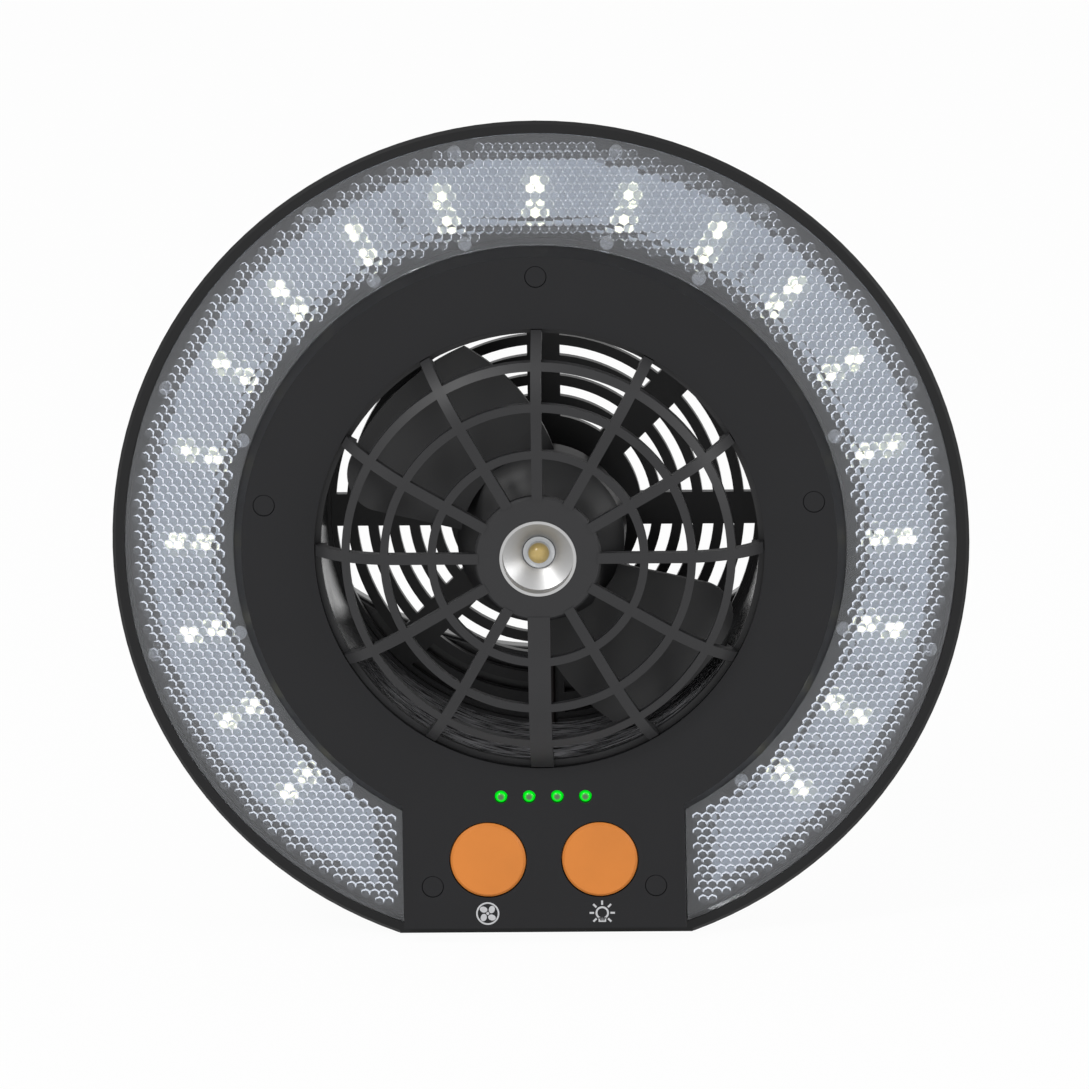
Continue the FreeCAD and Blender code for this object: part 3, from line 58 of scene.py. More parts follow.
# the signs under the buttons
SIGN_DROP = 0.0916
SIGN_SKIN = 0.00006
FAN_SIGN_X = -0.0140
FAN_SIGN_R = 0.00285
LAMP_SIGN_X = 0.0141
BULB_R = 0.00165
BULB_BORE = 0.00118
RAY_NEAR = 0.0020
RAY_FAR = 0.0031
RAY_HALF = 0.00024
CAP_LOW = 0.00150
CAP_HALF = 0.00092
CAP_TALL = 0.00036
CAP_STEP = 0.00078
STEM_WIDE = 0.00032
STEM_X = 0.00076
STEM_LOW = 0.0006
STEM_HIGH = 0.0002
# the small parts behind the lens
LENSLET_GAP = 0.00003
PEG_OUTER_R = 0.0990
PEG_INNER_R = 0.0770
PEG_TALL = 0.0016
PEG_GAP = 0.0001
PEG_FOOT_R = 0.0017
PEG_TIP_R = 0.0015
CHIP_RADII = (0.0833, 0.0861, 0.0889)
CHIP_ANGLES = (37.5, -22.5, -52.5, 97.5, 112.5, -97.5, 127.5)
CHIP_LONG = 0.0022
CHIP_END_LONG = 0.0005
CHIP_END_OUT = 0.00135
CHIP_WIDE = 0.0013
CHIP_TALL = 0.0006
CHIP_LIFT = 0.00033
# painted zones, the top of the painted reflection in the duct, and the floor
PHOSPHOR_R = 0.0026
LAMP_WIDE = 0.0038
LAMP_CORE_R = 0.0006
LAMP_MID_R = 0.0009
REFLECTION_TOP = -0.030
FLOOR_HALF = 4.0
FLOOR_DROP = 0.0002


# shader helpers
class Number:
    """A number socket; Python arithmetic on it adds Math nodes."""

    def __init__(self, finish, socket):
        self.finish = finish
        self.socket = socket

    def made(self, operation, *values):
        node = self.finish.node("ShaderNodeMath", {"operation": operation}, *values)
        return Number(self.finish, node.outputs[0])

    def __add__(self, other):
        return self.made("ADD", self, other)

    def __radd__(self, other):
        return self.made("ADD", other, self)

    def __sub__(self, other):
        return self.made("SUBTRACT", self, other)

    def __rsub__(self, other):
        return self.made("SUBTRACT", other, self)

    def __mul__(self, other):
        return self.made("MULTIPLY", self, other)

    def __rmul__(self, other):
        return self.made("MULTIPLY", other, self)

    def __truediv__(self, other):
        return self.made("DIVIDE", self, other)

    def __pow__(self, other):
        return self.made("POWER", self, other)

    def below(self, edge, soft):
        """1 under the edge and 0 above it, over a soft step."""
        node = self.finish.node("ShaderNodeMapRange", {"interpolation_type": "SMOOTHSTEP"},
                                self, edge - soft, edge + soft, 1.0, 0.0)
        return Number(self.finish, node.outputs[0])


class Finish:
    """A procedural material on object coordinates."""

    def __init__(self, name, colour, roughness, metallic=0.0, gloss=0.5):
        self.material = bpy.data.materials.new(name)
        self.material.use_nodes = True
        self.material.diffuse_color = (*colour[:3], 1.0)
        self.tree = self.material.node_tree
        self.shader = self.tree.nodes["Principled BSDF"]
        self.colour = tuple(colour[:3]) + (1.0,)
        self.shader.inputs["Base Color"].default_value = self.colour
        self.shader.inputs["Roughness"].default_value = roughness
        self.shader.inputs["Metallic"].default_value = metallic
        self.shader.inputs["Specular IOR Level"].default_value = gloss
        self.roughness = roughness
        self.place = None

    def node(self, kind, settings=None, *values, **named):
        """A node with its settings set first, then the values or links of its sockets."""
        node = self.tree.nodes.new(kind)
        for name, value in (settings or {}).items():
            setattr(node, name, value)
        pairs = list(zip(node.inputs, values)) + [(node.inputs[name.replace("_", " ")], value)
                                                  for name, value in named.items()]
        for socket, value in pairs:
            if value is None:
                continue
            source = getattr(value, "socket", value)
            if isinstance(source, bpy.types.NodeSocket):
                self.tree.links.new(source, socket)
            else:
                socket.default_value = source
        return node

    def feed(self, name, value):
        self.tree.links.new(getattr(value, "socket", value), self.shader.inputs[name])

    def coordinates(self):
        if self.place is None:
            self.place = self.node("ShaderNodeTexCoord").outputs["Object"]
        return self.place

    def parts(self, centre=(0, 0, 0)):
        """x, y and z from a centre, as numbers."""
        moved = self.node("ShaderNodeVectorMath", {"operation": "SUBTRACT"}, self.coordinates(), centre)
        split = self.node("ShaderNodeSeparateXYZ", None, moved.outputs[0])
        return [Number(self, socket) for socket in split.outputs]

    def noise(self, scale, detail=3.0, stretch=(1, 1, 1)):
        moved = self.node("ShaderNodeVectorMath", {"operation": "MULTIPLY"}, self.coordinates(), stretch)
        node = self.node("ShaderNodeTexNoise", None, moved.outputs[0], Scale=scale, Detail=detail)
        return Number(self, node.outputs["Fac"])

    def mixed(self, amount, first, second):
        """Colour between two colours."""
        node = self.node("ShaderNodeMix", {"data_type": "RGBA"})
        for index, value in ((0, amount), (6, first), (7, second)):
            source = getattr(value, "socket", value)
            if isinstance(source, bpy.types.NodeSocket):
                self.tree.links.new(source, node.inputs[index])
            else:
                node.inputs[index].default_value = source
        return node.outputs[2]

    def grain(self, scale, depth, strength=0.5, stretch=(1, 1, 1)):
        """Fine relief of a moulded or brushed surface."""
        bump = self.node("ShaderNodeBump", None, Strength=strength, Distance=depth,
                         Height=self.noise(scale, 2.0, stretch))
        self.feed("Normal", bump.outputs[0])
        return self

    def wear(self, scale, colour_change=0.12, rough_change=0.12):
        """Slight cloudiness of colour and of gloss."""
        cloud = self.noise(scale)
        low = tuple(part * (1 - colour_change) for part in self.colour[:3]) + (1.0,)
        high = tuple(min(1.0, part * (1 + colour_change)) for part in self.colour[:3]) + (1.0,)
        self.feed("Base Color", self.mixed(cloud, low, high))
        self.feed("Roughness", cloud * rough_change + (self.roughness - rough_change / 2))
        return self

    def glow(self, colour, strength):
        self.shader.inputs["Emission Color"].default_value = tuple(colour) + (1.0,)
        self.shader.inputs["Emission Strength"].default_value = strength
        return self


def wear_on(node_name, finish):
    """Puts a finish on a CAD node."""
    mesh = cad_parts[node_name].data
    mesh.materials.clear()
    mesh.materials.append(finish.material)


def plastic(name, colour, roughness, gloss=0.3, grain=0.00004, grain_scale=1500.0):
    return Finish(name, colour, roughness, gloss=gloss).wear(60.0).grain(grain_scale, grain)


# geometry node helpers
class Tree:
    """A geometry node group with named inputs."""

    def __init__(self, name, **inputs):
        self.group = bpy.data.node_groups.new(name, "GeometryNodeTree")
        self.group.is_modifier = True
        self.keys = {}
        for label, value in inputs.items():
            kind = "NodeSocketInt" if isinstance(value, int) else "NodeSocketFloat"
            socket = self.group.interface.new_socket(label, in_out="INPUT", socket_type=kind)
            socket.default_value = value
            self.keys[label] = (socket.identifier, value)
        self.group.interface.new_socket("Geometry", in_out="OUTPUT", socket_type="NodeSocketGeometry")
        self.source = self.group.nodes.new("NodeGroupInput")
        self.sink = self.group.nodes.new("NodeGroupOutput")

    def __getitem__(self, label):
        return self.source.outputs[label]

    def node(self, kind, settings=None, *values, **named):
        node = self.group.nodes.new(kind)
        for name, value in (settings or {}).items():
            setattr(node, name, value)
        pairs = list(zip(node.inputs, values)) + [(node.inputs[name.replace("_", " ")], value)
                                                  for name, value in named.items()]
        for socket, value in pairs:
            if value is None:
                continue
            if isinstance(value, bpy.types.NodeSocket):
                self.group.links.new(value, socket)
            else:
                socket.default_value = value
        return node

    def math(self, operation, *values):
        return self.node("ShaderNodeMath", {"operation": operation}, *values).outputs[0]

    def vector(self, x, y, z):
        return self.node("ShaderNodeCombineXYZ", None, x, y, z).outputs[0]

    def place(self):
        """x, y and z of each point."""
        position = self.node("GeometryNodeInputPosition").outputs[0]
        return self.node("ShaderNodeSeparateXYZ", None, position).outputs

    def stored(self, kind, geometry, name, value):
        """The geometry with a value kept on its points under a name."""
        settings = {"data_type": kind, "domain": "POINT"}
        return self.node("GeometryNodeStoreNamedAttribute", settings, geometry, None, name, value).outputs[0]

    def finish(self, geometry, material):
        solid = self.node("GeometryNodeRealizeInstances", None, geometry).outputs[0]
        done = self.node("GeometryNodeSetMaterial", None, solid, Material=material).outputs[0]
        self.group.links.new(done, self.sink.inputs[0])

    def made(self, name):
        """A plain mesh object from the group."""
        obj = bpy.data.objects.new(name, bpy.data.meshes.new(name))
        bpy.context.scene.collection.objects.link(obj)
        modifier = obj.modifiers.new(name, "NODES")
        modifier.node_group = self.group
        for identifier, value in self.keys.values():
            modifier[identifier] = value
        depsgraph = bpy.context.evaluated_depsgraph_get()
        mesh = bpy.data.meshes.new_from_object(obj.evaluated_get(depsgraph), depsgraph=depsgraph)
        obj.modifiers.clear()
        empty = obj.data
        obj.data = mesh
        bpy.data.meshes.remove(empty)
        mesh.name = name
        return obj


def mesh_piece(name, shape, finish, smooth_angle=None):
    """An object from a bmesh, in the table frame."""
    mesh = bpy.data.meshes.new(name)
    bmesh.ops.recalc_face_normals(shape, faces=shape.faces)
    shape.to_mesh(mesh)
    shape.free()
    mesh.materials.append(finish.material)
    if smooth_angle is not None:
        mesh.shade_smooth()
        mesh.set_sharp_from_angle(angle=smooth_angle)
    obj = bpy.data.objects.new(name, mesh)
    bpy.context.scene.collection.objects.link(obj)
    return obj


def placed(obj, body):
    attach(obj, body)


def plate(shape, outline, front, back):
    """Flat plate facing forwards, from a closed outline of (x, z)."""
    face = shape.faces.new([shape.verts.new((x, front, z)) for x, z in outline])
    result = bmesh.ops.extrude_face_region(shape, geom=[face])
    moved = [item for item in result["geom"] if isinstance(item, bmesh.types.BMVert)]
    bmesh.ops.translate(shape, verts=moved, vec=(0, back - front, 0))


def ring_plate(shape, centre, outer, inner, front, back, steps=40):
    """Flat ring facing forwards."""
    rows = []
    for radius, depth in ((outer, front), (inner, front), (inner, back), (outer, back)):
        rows.append([shape.verts.new((centre[0] + radius * math.sin(turn), depth,
                                      centre[1] + radius * math.cos(turn)))
                     for turn in (2 * math.pi * step / steps for step in range(steps))])
    for row, after in zip(rows, rows[1:] + rows[:1]):
        for step in range(steps):
            on = (step + 1) % steps
            shape.faces.new((row[step], row[on], after[on], after[step]))


def disc_outline(centre, radius, steps=32, wide=1.0, turn=0.0):
    """Outline of an ellipse, turned about its centre."""
    points = []
    for step in range(steps):
        angle = 2 * math.pi * step / steps
        x, z = radius * wide * math.cos(angle), radius * math.sin(angle)
        points.append((centre[0] + x * math.cos(turn) - z * math.sin(turn),
                       centre[1] + x * math.sin(turn) + z * math.cos(turn)))
    return points


def box_outline(left, wide, low, high):
    """Outline of an upright rectangle."""
    return [(left, low), (left + wide, low), (left + wide, high), (left, high)]


def bar_outline(centre, turn, near, far, half):
    """Outline of a short bar pointing away from a centre."""
    out = Vector((math.sin(turn), math.cos(turn)))
    side = Vector((out.y, -out.x)) * half
    middle = Vector(centre)
    return [tuple(middle + out * near + side), tuple(middle + out * near - side),
            tuple(middle + out * far - side), tuple(middle + out * far + side)]


# settings
class FanColours(bpy.types.PropertyGroup):
    panel: FloatVectorProperty(name="Panel", description="Charcoal of the front panel", subtype="COLOR",
                               size=3, min=0, max=1, default=(0.0128, 0.0129, 0.0143))
    rim: FloatVectorProperty(name="Rim", description="Black of the rim and shell", subtype="COLOR",
                             size=3, min=0, max=1, default=(0.0085, 0.0086, 0.0092))
    fan: FloatVectorProperty(name="Fan", description="Black of the rotor and grilles", subtype="COLOR",
                             size=3, min=0, max=1, default=(0.0145, 0.0145, 0.0155))
    grille: FloatVectorProperty(name="Front grille", description="Black of the front grille", subtype="COLOR",
                                size=3, min=0, max=1, default=(0.0240, 0.0240, 0.0255))
    button: FloatVectorProperty(name="Buttons", description="Orange of the buttons", subtype="COLOR",
                                size=3, min=0, max=1, default=(0.760, 0.250, 0.044))
    board: FloatVectorProperty(name="Light board", description="White of the light board", subtype="COLOR",
                               size=3, min=0, max=1, default=(0.66, 0.69, 0.75))
    lamp: FloatVectorProperty(name="Indicators", description="Green of the charge indicators",
                              subtype="COLOR", size=3, min=0, max=1, default=(0.0, 0.62, 0.010))
    print_white: FloatVectorProperty(name="Signs", description="White of the printed signs", subtype="COLOR",
                                     size=3, min=0, max=1, default=(0.62, 0.63, 0.65))


class RingLight(bpy.types.PropertyGroup):
    pitch: FloatProperty(name="Lenslet pitch", description="Width of a hexagonal lenslet across its flats",
                         unit="LENGTH", default=0.00227, min=0.001, max=0.01)
    rise: FloatProperty(name="Lenslet rise", description="Height of a lenslet at its middle",
                        unit="LENGTH", default=0.00068, min=0.0001, max=0.001)
    zone_low: FloatProperty(name="Zone inside", description="Inner radius of the lenslets' zone",
                            unit="LENGTH", default=0.0780, min=0.05, max=0.1)
    zone_high: FloatProperty(name="Zone outside", description="Outer radius of the lenslets' zone",
                             unit="LENGTH", default=0.0993, min=0.05, max=0.12)
    inner_r: FloatProperty(name="Lens bore", description="Inner radius of the lens",
                           unit="LENGTH", default=0.0751, min=0.05, max=0.1)
    wall: FloatProperty(name="Lens wall", description="Thickness of the lens",
                        unit="LENGTH", default=0.0018, min=0.0005, max=0.005)
    neck: FloatProperty(name="Neck room", description="Half width that the lenslets leave for the neck",
                        unit="LENGTH", default=0.0366, min=0.01, max=0.06)
    rings: IntProperty(name="Dome rings", description="Rings of faces on a lenslet", default=3, min=1, max=4)
    # painted light: the board's glow stands in for the LED light that the lens keeps from the board
    board_painted_glow: FloatProperty(name="Board glow", description="Light that the white board scatters",
                              default=0.06, min=0, max=2)
    led_glow: FloatProperty(name="LED glow", description="Strength of the lit LEDs",
                            default=1.6, min=0, max=50)


class Studio(bpy.types.PropertyGroup):
    sky: FloatProperty(name="Room light", description="Strength of the room's even light", default=0.52,
                       min=0, max=2)
    key: FloatProperty(name="Main lamp", description="Power of the main soft lamp in watts", default=16.0,
                       min=0, max=200)
    fill: FloatProperty(name="Side lamp", description="Power of the side lamp in watts", default=7.0,
                        min=0, max=200)
    azimuth: FloatProperty(name="Azimuth", description="Camera's turn round the fan", subtype="ANGLE",
                           default=math.radians(2.1))
    elevation: FloatProperty(name="Elevation", description="Camera's height angle", subtype="ANGLE",
                             default=math.radians(12.7))
    roll: FloatProperty(name="Roll", description="Turn of the picture", subtype="ANGLE",
                        default=math.radians(0.85))
    width: FloatProperty(name="Frame width", description="Width of the picture at the fan", unit="LENGTH",
                         default=0.2663, min=0.1, max=2)
    aside: FloatProperty(name="Aim aside", description="Picture's middle to the right of the fan axis",
                         unit="LENGTH", default=0.00125)
    above: FloatProperty(name="Aim above", description="Picture's middle above the fan axis",
                         unit="LENGTH", default=0.00107)
    lens: FloatProperty(name="Lens", description="Focal length in millimetres",
                        default=900.0, min=20, max=2000)


# pieces
class FAN_OT_housing(bpy.types.Operator):
    """Gives the rim, the shell and what is fixed to them their finishes"""
    bl_idname = "camping_fan.housing"
    bl_label = "Housing"

    def execute(self, context):
        colours = context.scene.fan_colours
        rim = plastic("rim_black", colours.rim, 0.42, 0.26)
        shell = plastic("shell_black", colours.rim, 0.55, 0.26, 0.00008, 900.0)
        rubber = plastic("pad_rubber", (0.017, 0.017, 0.017), 0.8, 0.2, 0.00012, 700.0)
        wear_on("front_housing", rim)
        wear_on("rear_housing", shell)
        wear_on("base_pads", rubber)
        wear_on("port_cover", plastic("cover_rubber", (0.022, 0.022, 0.023), 0.7, 0.25, 0.0001, 1100.0))
        wear_on("handle_bail", plastic("handle_black", (0.017, 0.017, 0.018), 0.28, 0.5, 0.00002))
        wear_on("handle_pins", plastic("pin_black", (0.02, 0.02, 0.021), 0.3, 0.5, 0.00002))
        screw = Finish("screw_zinc", (0.42, 0.42, 0.43), 0.32, 1.0).wear(400.0, 0.1, 0.15)
        screw.grain(3000.0, 0.00002)
        for name in ("panel_screws", "rear_screws", "board_screws"):
            wear_on(name, screw)
        return {"FINISHED"}


class FAN_OT_panel(bpy.types.Operator):
    """Gives the front panel and its screw plugs their finish"""
    bl_idname = "camping_fan.panel"
    bl_label = "Front panel"

    def execute(self, context):
        colours = context.scene.fan_colours
        wear_on("front_panel", plastic("panel_charcoal", colours.panel, 0.5, 0.24, 0.00003, 1800.0))
        wear_on("screw_plugs", plastic("plug_charcoal", colours.panel, 0.45, 0.24, 0.00003, 1800.0))
        return {"FINISHED"}


class FAN_OT_signs(bpy.types.Operator):
    """Prints the sign of a fan and the sign of a lamp under the buttons"""
    bl_idname = "camping_fan.signs"
    bl_label = "Signs"

    def execute(self, context):
        ink = Finish("sign_white", context.scene.fan_colours.print_white, 0.55, gloss=0.3)
        ink.wear(900.0, 0.06, 0.1)
        back = PANEL[0][1]
        front = back - SIGN_SKIN
        shape = bmesh.new()
        middle = (FAN_SIGN_X, AXIS_Z - SIGN_DROP)
        radius = FAN_SIGN_R
        ring_plate(shape, middle, radius, radius * 0.86, front, back)
        for quarter in range(4):
            turn = math.radians(45 + 90 * quarter)
            centre = (middle[0] + radius / 2 * math.cos(turn), middle[1] + radius / 2 * math.sin(turn))
            plate(shape, disc_outline(centre, radius * 0.26, 24, 1.28, turn + 0.5), front, back)
        plate(shape, disc_outline(middle, radius * 0.13, 16), front, back)
        placed(mesh_piece("fan_sign", shape, ink), "housing")

        shape = bmesh.new()
        middle = (LAMP_SIGN_X, AXIS_Z - SIGN_DROP)
        ring_plate(shape, middle, BULB_R, BULB_BORE, front, back)
        for step in range(7):
            turn = math.radians(-135 + 45 * step)
            plate(shape, bar_outline(middle, turn, RAY_NEAR, RAY_FAR, RAY_HALF), front, back)
        low = middle[1] - CAP_LOW
        for bottom in (low, low - CAP_STEP):
            outline = box_outline(middle[0] - CAP_HALF, 2 * CAP_HALF, bottom, bottom + CAP_TALL)
            plate(shape, outline, front, back)
        for side in (-1, 1):
            left = middle[0] + side * STEM_X - STEM_WIDE / 2
            plate(shape, box_outline(left, STEM_WIDE, low - STEM_LOW, low + STEM_HIGH),
                  front + SIGN_SKIN / 6, back)
        placed(mesh_piece("lamp_sign", shape, ink), "housing")
        return {"FINISHED"}


class FAN_OT_lens(bpy.types.Operator):
    """Makes the ring light's lens clear and sets the hexagonal lenslets behind it"""
    bl_idname = "camping_fan.lens"
    bl_label = "Lens and lenslets"

    def execute(self, context):
        size = context.scene.fan_ring
        clear = Finish("lens_clear", (0.93, 0.955, 1.0), 0.05, gloss=0.5)
        clear.shader.inputs["Transmission Weight"].default_value = 0.965
        clear.shader.inputs["IOR"].default_value = 1.46
        clear.grain(350.0, 0.00002, 0.25)
        wear_on("light_lens", clear)
        lenslet = Finish("lenslet_clear", (0.95, 0.97, 1.0), 0.02, gloss=0.5)
        lenslet.shader.inputs["Transmission Weight"].default_value = 1.0
        lenslet.shader.inputs["IOR"].default_value = 1.46
        outer_r = LENS[1][0]
        front, back = LENS[0][1], LENS[1][1]
        slope = (back - size.wall - front) / (outer_r - size.inner_r)
        tree = Tree("hexagonal_lenslets", pitch=size.pitch, rise=size.rise, zone_low=size.zone_low,
                    zone_high=size.zone_high, neck=size.neck, slope=slope, rings=size.rings,
                    level=front + size.wall + LENSLET_GAP - slope * size.inner_r, columns=91, rows=105)
        pitch = tree["pitch"]
        row_pitch = tree.math("MULTIPLY", pitch, math.sqrt(0.75))
        column_span = tree.math("MULTIPLY", tree.math("SUBTRACT", tree["columns"], 1.0), pitch)
        row_span = tree.math("MULTIPLY", tree.math("SUBTRACT", tree["rows"], 1.0), row_pitch)
        grid = tree.node("GeometryNodeMeshGrid", None, column_span, row_span, tree["columns"], tree["rows"])
        at = tree.place()
        row = tree.math("ROUND", tree.math("DIVIDE", tree.math("ADD", at[1], tree.math(
            "MULTIPLY", row_span, 0.5)), row_pitch))
        odd = tree.math("MODULO", row, 2.0)
        x = tree.math("ADD", at[0], tree.math("MULTIPLY", tree.math("MULTIPLY", odd, 0.5), pitch))
        radius = tree.math("SQRT", tree.math("ADD", tree.math("MULTIPLY", x, x),
                                             tree.math("MULTIPLY", at[1], at[1])))
        outside = tree.math("MAXIMUM", tree.math("LESS_THAN", radius, tree["zone_low"]),
                            tree.math("GREATER_THAN", radius, tree["zone_high"]))
        neck = tree.math("MULTIPLY", tree.math("LESS_THAN", tree.math("ABSOLUTE", x), tree["neck"]),
                         tree.math("LESS_THAN", at[1], 0.0))
        depth = tree.math("ADD", tree["level"], tree.math("MULTIPLY", tree["slope"], radius))
        lift = tree.math("ADD", at[1], AXIS_Z)
        # keep the flag and the tilt before the points move
        flagged = tree.stored("FLOAT", grid.outputs[0], "left_out", tree.math("MAXIMUM", outside, neck))
        fall = tree.math("MULTIPLY", tree["slope"], -1.0)
        tilt = tree.vector(tree.math("DIVIDE", tree.math("MULTIPLY", x, fall), radius), 1.0,
                           tree.math("DIVIDE", tree.math("MULTIPLY", at[1], fall), radius))
        tilted = tree.stored("FLOAT_VECTOR", flagged, "tilt", tilt)
        moved = tree.node("GeometryNodeSetPosition", None, tilted, None, tree.vector(x, depth, lift))
        flag = tree.node("GeometryNodeInputNamedAttribute", {"data_type": "FLOAT"}, "left_out").outputs[0]
        kept = tree.node("GeometryNodeDeleteGeometry", {"domain": "POINT"}, moved.outputs[0],
                         tree.math("GREATER_THAN", flag, 0.5))
        way = tree.node("GeometryNodeInputNamedAttribute", {"data_type": "FLOAT_VECTOR"}, "tilt").outputs[0]
        turn = tree.node("FunctionNodeAlignRotationToVector", {"axis": "Z"}, None, None, way).outputs[0]
        # one lenslet: a hexagonal pillow of unit radius on a flat seat
        cone = tree.node("GeometryNodeMeshCone", {"fill_type": "NGON"}, 12, tree["rings"], 1, 0.0, 1.0, 1.0)
        here = tree.place()
        spread = tree.math("SQRT", tree.math("ADD", tree.math("MULTIPLY", here[0], here[0]),
                                             tree.math("MULTIPLY", here[1], here[1])))
        angle = tree.math("ADD", tree.math("ARCTAN2", here[1], here[0]), math.radians(750))
        wedge = tree.math("SUBTRACT", tree.math("MODULO", angle, math.radians(60)), math.radians(30))
        side = tree.math("DIVIDE", math.cos(math.radians(30)) * 0.985, tree.math("COSINE", wedge))
        circum = tree.math("DIVIDE", pitch, math.sqrt(3))
        wide = tree.math("MULTIPLY", side, circum)
        crown = tree.math("SUBTRACT", 1.0, tree.math("MULTIPLY", spread, spread))
        pillow_place = tree.vector(tree.math("MULTIPLY", here[0], wide), tree.math("MULTIPLY", here[1], wide),
                                   tree.math("MULTIPLY", tree["rise"], crown))
        pillow = tree.node("GeometryNodeSetPosition", None, cone.outputs[0], None, pillow_place)
        smooth = tree.node("GeometryNodeSetShadeSmooth", {"domain": "FACE"}, pillow.outputs[0], None, True)
        edge = tree.node("GeometryNodeInputMeshEdgeAngle").outputs[0]
        crisp = tree.node("GeometryNodeSetShadeSmooth", {"domain": "EDGE"}, smooth.outputs[0],
                          tree.math("GREATER_THAN", edge, 1.6), False)
        dots = tree.node("GeometryNodeInstanceOnPoints", None, kept.outputs[0], None, crisp.outputs[0],
                         Rotation=turn)
        tree.finish(dots.outputs[0], lenslet.material)
        obj = tree.made("lens_lenslets")
        if len(obj.data.polygons) < 1000:
            raise RuntimeError("the lenslets came out empty")
        placed(obj, "housing")
        return {"FINISHED"}


class FAN_OT_pegs(bpy.types.Operator):
    """Adds the round pegs that carry the lens under its two flanges"""
    bl_idname = "camping_fan.pegs"
    bl_label = "Lens pegs"

    def execute(self, context):
        size = context.scene.fan_ring
        milky = Finish("peg_milky", (0.72, 0.74, 0.77), 0.35, gloss=0.5).wear(500.0)
        milky.shader.inputs["Alpha"].default_value = 0.3
        slope = (LENS[1][1] - size.wall - LENS[0][1]) / (LENS[1][0] - size.inner_r)
        places = [(PEG_OUTER_R, turn) for turn in (-11.5, 11.5, 34.0, -34.0, 67.0, -67.0, 106.5, -106.5)]
        places += [(PEG_INNER_R, turn) for turn in (-13.0, 13.0, 31.0, -31.0, 70.0, -70.0, 106.5, -106.5,
                                                    141.0, -141.0)]
        shape = bmesh.new()
        for radius, degrees in places:
            turn = math.radians(degrees)
            depth = LENS[0][1] + size.wall + slope * (radius - size.inner_r)
            tall = min(PEG_TALL, BOARD[1][1] - depth)
            middle = Vector((radius * math.sin(turn), depth + tall / 2 + PEG_GAP,
                             AXIS_Z + radius * math.cos(turn)))
            bmesh.ops.create_cone(shape, cap_ends=True, segments=20, radius1=PEG_FOOT_R, radius2=PEG_TIP_R,
                                  depth=tall,
                                  matrix=Matrix.Translation(middle) @ Matrix.Rotation(-math.pi / 2, 4, "X"))
        placed(mesh_piece("lens_pegs", shape, milky, 0.6), "housing")
        return {"FINISHED"}


class FAN_OT_light_board(bpy.types.Operator):
    """Lights the LEDs, gives the board a painted glow, and adds the chip resistors between them"""
    bl_idname = "camping_fan.light_board"
    bl_label = "Light board"

    def execute(self, context):
        colours = context.scene.fan_colours
        board = Finish("board_white", colours.board, 0.42, gloss=0.4).wear(90.0, 0.05, 0.1)
        # painted light: a faint glow on the board in place of the light that reaches it through the lens
        board.glow((0.86, 0.93, 1.0), context.scene.fan_ring.board_painted_glow)
        wear_on("light_board", board)
        star = Finish("star_board_white", colours.board, 0.42, gloss=0.4).wear(90.0, 0.05, 0.1)
        wear_on("spot_board", star)
        lit = Finish("ring_led_lit", (0.95, 0.95, 0.90), 0.4).wear(900.0, 0.03, 0.1)
        lit.glow((1.0, 0.95, 0.60), context.scene.fan_ring.led_glow)
        wear_on("ring_leds", lit)
        chip = Finish("chip_dark", (0.24, 0.24, 0.26), 0.4).wear(900.0)
        solder = Finish("chip_ends", (0.6, 0.6, 0.6), 0.35, 1.0).wear(1200.0)
        front = BOARD[0][1]
        dark, bright = bmesh.new(), bmesh.new()
        blocks = ((dark, CHIP_LONG, 0.0), (bright, CHIP_END_LONG, -CHIP_END_OUT),
                  (bright, CHIP_END_LONG, CHIP_END_OUT))
        for degrees in CHIP_ANGLES:
            turn = Matrix.Translation((0, 0, AXIS_Z)) @ Matrix.Rotation(math.radians(degrees), 4, "Y")
            for radius in CHIP_RADII:
                for shape, long, offset in blocks:
                    place = Matrix.Translation((offset, front - CHIP_LIFT, radius))
                    size = Matrix.Diagonal((long, CHIP_TALL, CHIP_WIDE, 1))
                    bmesh.ops.create_cube(shape, size=1.0, matrix=turn @ place @ size)
        placed(mesh_piece("board_resistors", dark, chip), "housing")
        placed(mesh_piece("board_resistor_ends", bright, solder), "housing")
        return {"FINISHED"}


class FAN_OT_fan(bpy.types.Operator):
    """Gives the rotor, the duct and the grilles their finishes"""
    bl_idname = "camping_fan.fan"
    bl_label = "Fan and grilles"

    def execute(self, context):
        colours = context.scene.fan_colours
        wear_on("fan_rotor", plastic("rotor_black", colours.fan, 0.38, 0.45, 0.00002))
        wear_on("fan_duct", self.duct_painted_reflections())
        wear_on("rear_grille", plastic("rear_grille_black", colours.fan, 0.45, 0.35, 0.00003))
        grille = plastic("grille_black", colours.grille, 0.45, 0.34, 0.00003)
        wear_on("front_grille", grille)
        wear_on("hub_cap", grille)
        return {"FINISHED"}

    def duct_painted_reflections(self):
        """Glossy black with a painted reflection: pale streaks painted round the lower part of the bore."""
        duct = Finish("duct_gloss_black", (0.012, 0.012, 0.013), 0.16, gloss=0.65)
        x, y, z = duct.parts((0, 0, AXIS_Z))
        # painted reflection: pale streaks in the base colour of the lower bore stand in for reflected light
        low = z.below(REFLECTION_TOP, 0.014)
        reflection_streak = duct.noise(150.0, 5.0, (1, 7, 1)) - 0.40
        duct.feed("Base Color", duct.mixed(low * reflection_streak * 5.0, duct.colour, (0.42, 0.42, 0.44, 1)))
        duct.feed("Roughness", duct.noise(90.0) * 0.14 + 0.10)
        return duct.grain(300.0, 0.00001)


